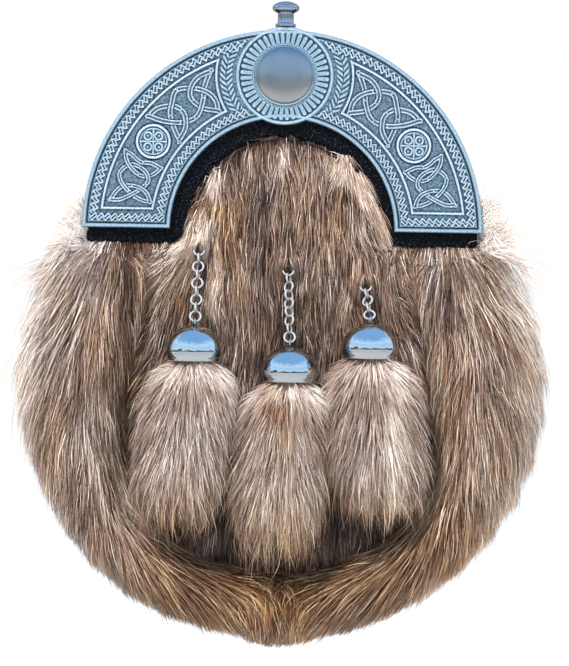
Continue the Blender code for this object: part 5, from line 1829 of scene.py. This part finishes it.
def build_tassel(name):
    """Hair that hangs from a bell, in locks with uneven ends."""
    tassel = Tassel(name)
    skin = tassel.skin
    coat = f"tassel_{name}_undercoat"
    add_undercoat(coat, skin, PALE_COAT, "pale_fur", tassel.node, tassel.coat_look)
    roots, normals = skin.scatter(TASSEL_HAIRS, tassel.density)
    count = len(roots)
    drop = tassel.drop(roots)
    lengths = hair_lengths(count, *TASSEL_LENGTHS) * (0.6 + 0.4 * ramp01(drop, 0, 0.3))
    lengths *= 1 + 0.45 * ramp01(drop, 0.5, 0.9)
    depth = RANDOM.random(count)
    stray = RANDOM.random(count) < 0.07 + 0.18 * ramp01(drop, 0.7, 0.95)
    lengths *= 1 + 0.6 * stray
    fluff = 1 - ramp01(drop, 0.04, 0.30)
    top = 0.3 + 2.3 * depth**1.2 + 1.1 * fluff
    fan_out = 1.0 + (1.3 + 1.5 * stray) * ramp01(drop, 0.15, 0.5) * RANDOM.random(count)

    def lift(t):
        start = 0.2 + 0.5 * fluff
        bulge = np.where(t < 0.5, start + (0.95 - start) * t / 0.5, 0.95)
        return top * bulge * (1 + (fan_out - 1) * t)

    paths, beside = grow(skin, roots, normals, tassel.flow, lengths, lift, hold=0.7, jitter=0.14)
    paths = tassel.trimmed(roots, paths, stray)
    draw = 0.30 + 0.50 * ramp01(drop, 0.62, 0.92)
    paths, owner = clump(paths, roots, 8, draw[:, None, None])
    lock = lock_tones(owner, 0.04)
    tone, warmth = tassel.look(paths[:, 1])
    spread = 1 - 0.6 * fluff + 0.35 * ramp01(drop, 0.6, 1.0)
    # Painted shade: below the fluffy top, hairs that lie lower are darker.
    tone = tone + lock + strand_tones(count, 0.13) * spread + 0.20 * (depth - 0.5) * (1 - fluff)
    tone -= 0.05 * fluff + 0.20 * stray * ramp01(drop, 0.5, 0.9)
    warmth = warmth + RANDOM.normal(0, 0.14, count) + 0.25 * stray
    widths = RANDOM.uniform(*TASSEL_THICK, count)
    add_hair(f"tassel_{name}_hair", paths, widths, tone, warmth, beside, tassel.node,
             0.8 * fluff, PALE_HAIR, "pale_fur")


# ---------------------------------------------------------------- felt and thread

def build_felt_fuzz():
    """Short wool fibres standing off the felt, over its pinked edge too."""
    skin = Skin("felt_backing")
    roots, normals = skin.scatter(FUZZ_FIBRES, lambda _, out: np.where(out[:, 1] < 0.5, 1.0, 0.05))
    count = len(roots)
    lean = unit(RANDOM.normal(0, 1, (count, 3)) * (1, 0.3, 1) + normals * 0.5)
    length = RANDOM.uniform(0.5, 1.3, count)[:, None]
    tips = roots + unit(lean + (0, -0.2, -0.3)) * length
    paths = np.stack([roots, roots + lean * length * 0.55, tips], 1)
    blank = np.full(count, 0.3)
    widths = np.full(count, FUZZ_THICK)
    beside = np.repeat(normals[:, None], 3, 1)
    add_hair("felt_fuzz", paths, widths, blank, blank, beside, material=FELT, slot="black_felt")


def back_face(skin, x, z):
    """Where a ray from behind meets a form at x and z, or None."""
    return skin.tree.ray_cast((x, -FAR_FRONT, z), (0.0, -1.0, 0.0))[0]


def stitch_row(skin, places):
    """Short thread stitches on the back face of a form, between neighbouring places in x and z."""
    parts = []
    ring = np.linspace(0, 2 * math.pi, THREAD_SIDES, endpoint=False)[:, None]
    for start, end in places:
        along = unit(np.array((end[0] - start[0], 0.0, end[1] - start[1])))
        side = np.cross(along, (0.0, 1.0, 0.0))
        rows = []
        for share, swell in ((0.0, 0.35), (0.25, 1.0), (0.75, 1.0), (1.0, 0.35)):
            x, z = start + (end - start) * share
            hit = back_face(skin, x, z)
            if hit is None:
                break
            centre = np.array((x, hit.y + 0.12 * swell - 0.05, z))
            round_it = np.cos(ring) * side + np.sin(ring) * np.array((0, 1, 0))
            rows.append(centre + THREAD_RADIUS * swell * round_it)
        else:
            parts.append((np.concatenate(rows), grid_faces(len(rows), len(ring), closed=True)))
    return parts


def panel_edge(skin):
    """A closed line near the edge of a panel's flat back, as (count, 2) in x and z."""
    back = skin.points[:, 1].max()
    heart = ((skin.points.max(0) + skin.points.min(0)) / 2)[[0, 2]]
    angles = np.linspace(-math.pi, math.pi, 180, endpoint=False)
    reach = []
    for angle in angles:
        inside, outside = 10.0, 160.0
        while outside - inside > 0.2:
            tried = (inside + outside) / 2
            x, z = heart + tried * np.array((math.cos(angle), math.sin(angle)))
            hit = back_face(skin, x, z)
            if hit is not None and hit.y > back - 0.4:
                inside = tried
            else:
                outside = tried
        reach.append(inside - STITCH_INSET)
    reach = np.array(reach)
    smooth = (np.roll(reach, 1) + reach + np.roll(reach, -1)) / 3
    line = heart + smooth[:, None] * np.stack([np.cos(angles), np.sin(angles)], -1)
    return np.concatenate([line, line[:1]])


def build_stitches():
    """Thread along the back panel's edge and across the ends of the belt loops."""
    panel = Skin("back_panel")
    line = panel_edge(panel)
    run = np.concatenate([[0], np.cumsum(np.hypot(*np.diff(line, axis=0).T))])
    starts = np.arange(0, run[-1] - 3.6, STITCH_PITCH)
    ends = [
        np.stack([np.interp(starts + k, run, line[:, 0]), np.interp(starts + k, run, line[:, 1])], -1)
        for k in (0.0, STITCH)
    ]
    parts = stitch_row(panel, list(zip(*ends)))
    for name in ("belt_loop_left", "belt_loop_right"):
        loop = Skin(name)
        low, high = loop.points.min(0), loop.points.max(0)
        for z in (low[2] + 2.2, high[2] - 2.2):
            row = np.arange(low[0] + 2.0, high[0] - 3.0, LOOP_STITCH_PITCH)
            parts += stitch_row(loop, [(np.array((x, z)), np.array((x + LOOP_STITCH, z))) for x in row])
    add_piece("thread_stitches", *gather(parts), THREAD, "black_leather")


# ---------------------------------------------------------------- stage

NODE_LOOKS = {
    "back_panel": LEATHER, "front_panel": LEATHER, "gusset": LEATHER,
    "belt_loop_left": LEATHER, "belt_loop_right": LEATHER, "felt_backing": FELT,
    "chain_staple_left": STAPLE_SHADE_METAL, "chain_staple_centre": STAPLE_SHADE_METAL,
    "chain_staple_right": STAPLE_SHADE_METAL,
}
# The stage's sizes are in metres.
FLOOR_HALF = 4
SQUARE = ((-1, -1), (1, -1), (1, 1), (-1, 1))
FLOOR_Z = -0.34
FLOOR_RUN = (-0.6, 0.7)
# Floor: its base colour, darker in front, and its painted glow, brighter towards the back.
FLOOR_TONES = ((0.0, (0.34, 0.33, 0.31)), (1.0, (0.42, 0.41, 0.40)))
FLOOR_GLOW = ((0.0, (0.64, 0.63, 0.62)), (1.0, (1.0, 1.0, 1.0)))
# Name, place, aim, size, power, colour.
LIGHTS = (
    ("key_light", (-0.40, -0.80, 0.85), (0, 0, -0.06), 0.34, 25.0, (1.0, 0.97, 0.94)),
    ("fill_light", (0.85, -0.75, 0.20), (0, 0, -0.06), 0.9, 5.5, (1.0, 0.97, 0.94)),
    ("back_light", (0.2, 0.9, 0.7), (0, 0, -0.05), 0.8, 8.0, (1.0, 1.0, 1.0)),
)
SKYLINE_SWING = 0.26
SIDE_SKY = (
    (0.00, (0.50, 0.50, 0.50)),
    (0.46, (0.80, 0.80, 0.80)),
    (0.60, (0.80, 0.82, 0.85)),
    (1.00, (0.50, 0.60, 0.72)),
)
FRONT_SKY = (
    (0.00, (0.30, 0.31, 0.31)),
    (0.560, (0.46, 0.50, 0.51)),
    (0.600, (0.34, 0.37, 0.38)),
    (0.620, (0.03, 0.04, 0.05)),
    (0.662, (0.07, 0.09, 0.10)),
    (0.672, (0.50, 0.57, 0.61)),
    (0.700, (0.60, 0.71, 0.80)),
    (0.740, (0.46, 0.70, 0.96)),
    (0.800, (0.34, 0.62, 0.98)),
    (0.840, (0.62, 0.76, 0.88)),
    (0.885, (0.52, 0.70, 0.88)),
    (0.940, (0.30, 0.52, 0.84)),
    (1.000, (0.22, 0.42, 0.74)),
)
CAMERA_X = 0.0016
CAMERA_Z = -0.0641
CAMERA_AWAY = 0.95
PICTURE_Y = -0.030
PICTURE_HEIGHT = 0.2531


def link_object(name, data):
    """Puts an object into the scene."""
    made = bpy.data.objects.new(name, data)
    bpy.context.scene.collection.objects.link(made)
    return made


def dress_nodes():
    """Gives the parts shown as built their materials."""
    for node, material in NODE_LOOKS.items():
        NODES[node].data.materials.clear()
        NODES[node].data.materials.append(material)


def build_floor():
    """A wide pale floor far below the pouch that glows as painted light, brighter towards the back."""
    mesh = bpy.data.meshes.new("floor")
    mesh.from_pydata([(x * FLOOR_HALF, y * FLOOR_HALF, 0) for x, y in SQUARE], [], [(0, 1, 2, 3)])
    floor = link_object("floor", mesh)
    floor.location = (0, 0, FLOOR_Z)
    made, graph = new_material("floor_look")
    where = graph.add("SeparateXYZ", {"Vector": graph.add("TexCoord")["Object"]})
    run = graph.span(where["Y"], *FLOOR_RUN)
    graph.shade({
        "Base Color": graph.ramp(run, FLOOR_TONES),
        "Roughness": 0.9,
        "Specular IOR Level": 0.0,
        "Emission Color": graph.ramp(run, FLOOR_GLOW),
        "Emission Strength": 0.84,
    })
    mesh.materials.append(made)


def add_light(name, place, aim, size, power, colour):
    """A round lamp at a place in metres, aimed at a point, that the chrome doesn't mirror."""
    data = bpy.data.lights.new(name, "AREA")
    data.shape = "DISK"
    data.size = size
    data.energy = power
    data.color = colour
    lamp = link_object(name, data)
    lamp.location = place
    lamp.rotation_euler = (Vector(aim) - Vector(place)).to_track_quat("-Z", "Y").to_euler()
    lamp.visible_glossy = False


def build_sky():
    """What the chrome mirrors: a sky with a dark uneven skyline in front. The camera sees white."""
    world = bpy.data.worlds.new("studio_sky")
    world.use_nodes = True
    graph = Graph(world.node_tree)
    where = graph.add("TexCoord")["Generated"]
    way = graph.add("SeparateXYZ", {"Vector": where})
    skyline = graph.add("TexNoise", {"Vector": where, "Scale": 3.6, "Detail": 4.0})["Fac"]
    height = graph.math("MULTIPLY_ADD", skyline, SKYLINE_SWING, graph.span(way["Z"], -1.0, 1.0))
    in_front = graph.span(way["Y"], 0.50, 0.15)
    sky = graph.mix(in_front, graph.ramp(height, SIDE_SKY), graph.ramp(height, FRONT_SKY))
    seen = graph.mix(graph.add("LightPath")["Is Camera Ray"], sky, (1.0, 1.0, 1.0))
    graph.feed(graph.tree.nodes["Background"], {"Color": seen, "Strength": 1.0})
    bpy.context.scene.world = world
    bpy.context.scene.view_settings.view_transform = "Standard"


def build_camera():
    """Looks at the front from far away, turned by the photo's tilt."""
    data = bpy.data.cameras.new("camera")
    data.lens = data.sensor_width * CAMERA_AWAY / PICTURE_HEIGHT
    camera = link_object("camera", data)
    camera.matrix_world = (
        Matrix.Translation((CAMERA_X, PICTURE_Y - CAMERA_AWAY, CAMERA_Z))
        @ Matrix.Rotation(math.radians(-1.0), 4, "Y")
        @ Matrix.Rotation(math.radians(90.0), 4, "X")
    )
    bpy.context.scene.camera = camera


# ---------------------------------------------------------------- set up

build_plate()
build_ray_disc()
build_boss()
build_stud()
for tassel_name, link_count, link_twist in TASSELS:
    build_bell(tassel_name)
    build_chain(tassel_name, link_count, link_twist)
    build_tassel(tassel_name)
front_skin = build_front()
ruff_skin = build_ruff()
build_felt_edge_fur((front_skin, ruff_skin))
build_tufts((front_skin, ruff_skin))
build_staple_tufts(front_skin)
build_felt_fuzz()
build_stitches()

dress_nodes()
build_floor()
for light in LIGHTS:
    add_light(*light)
build_sky()
build_camera()
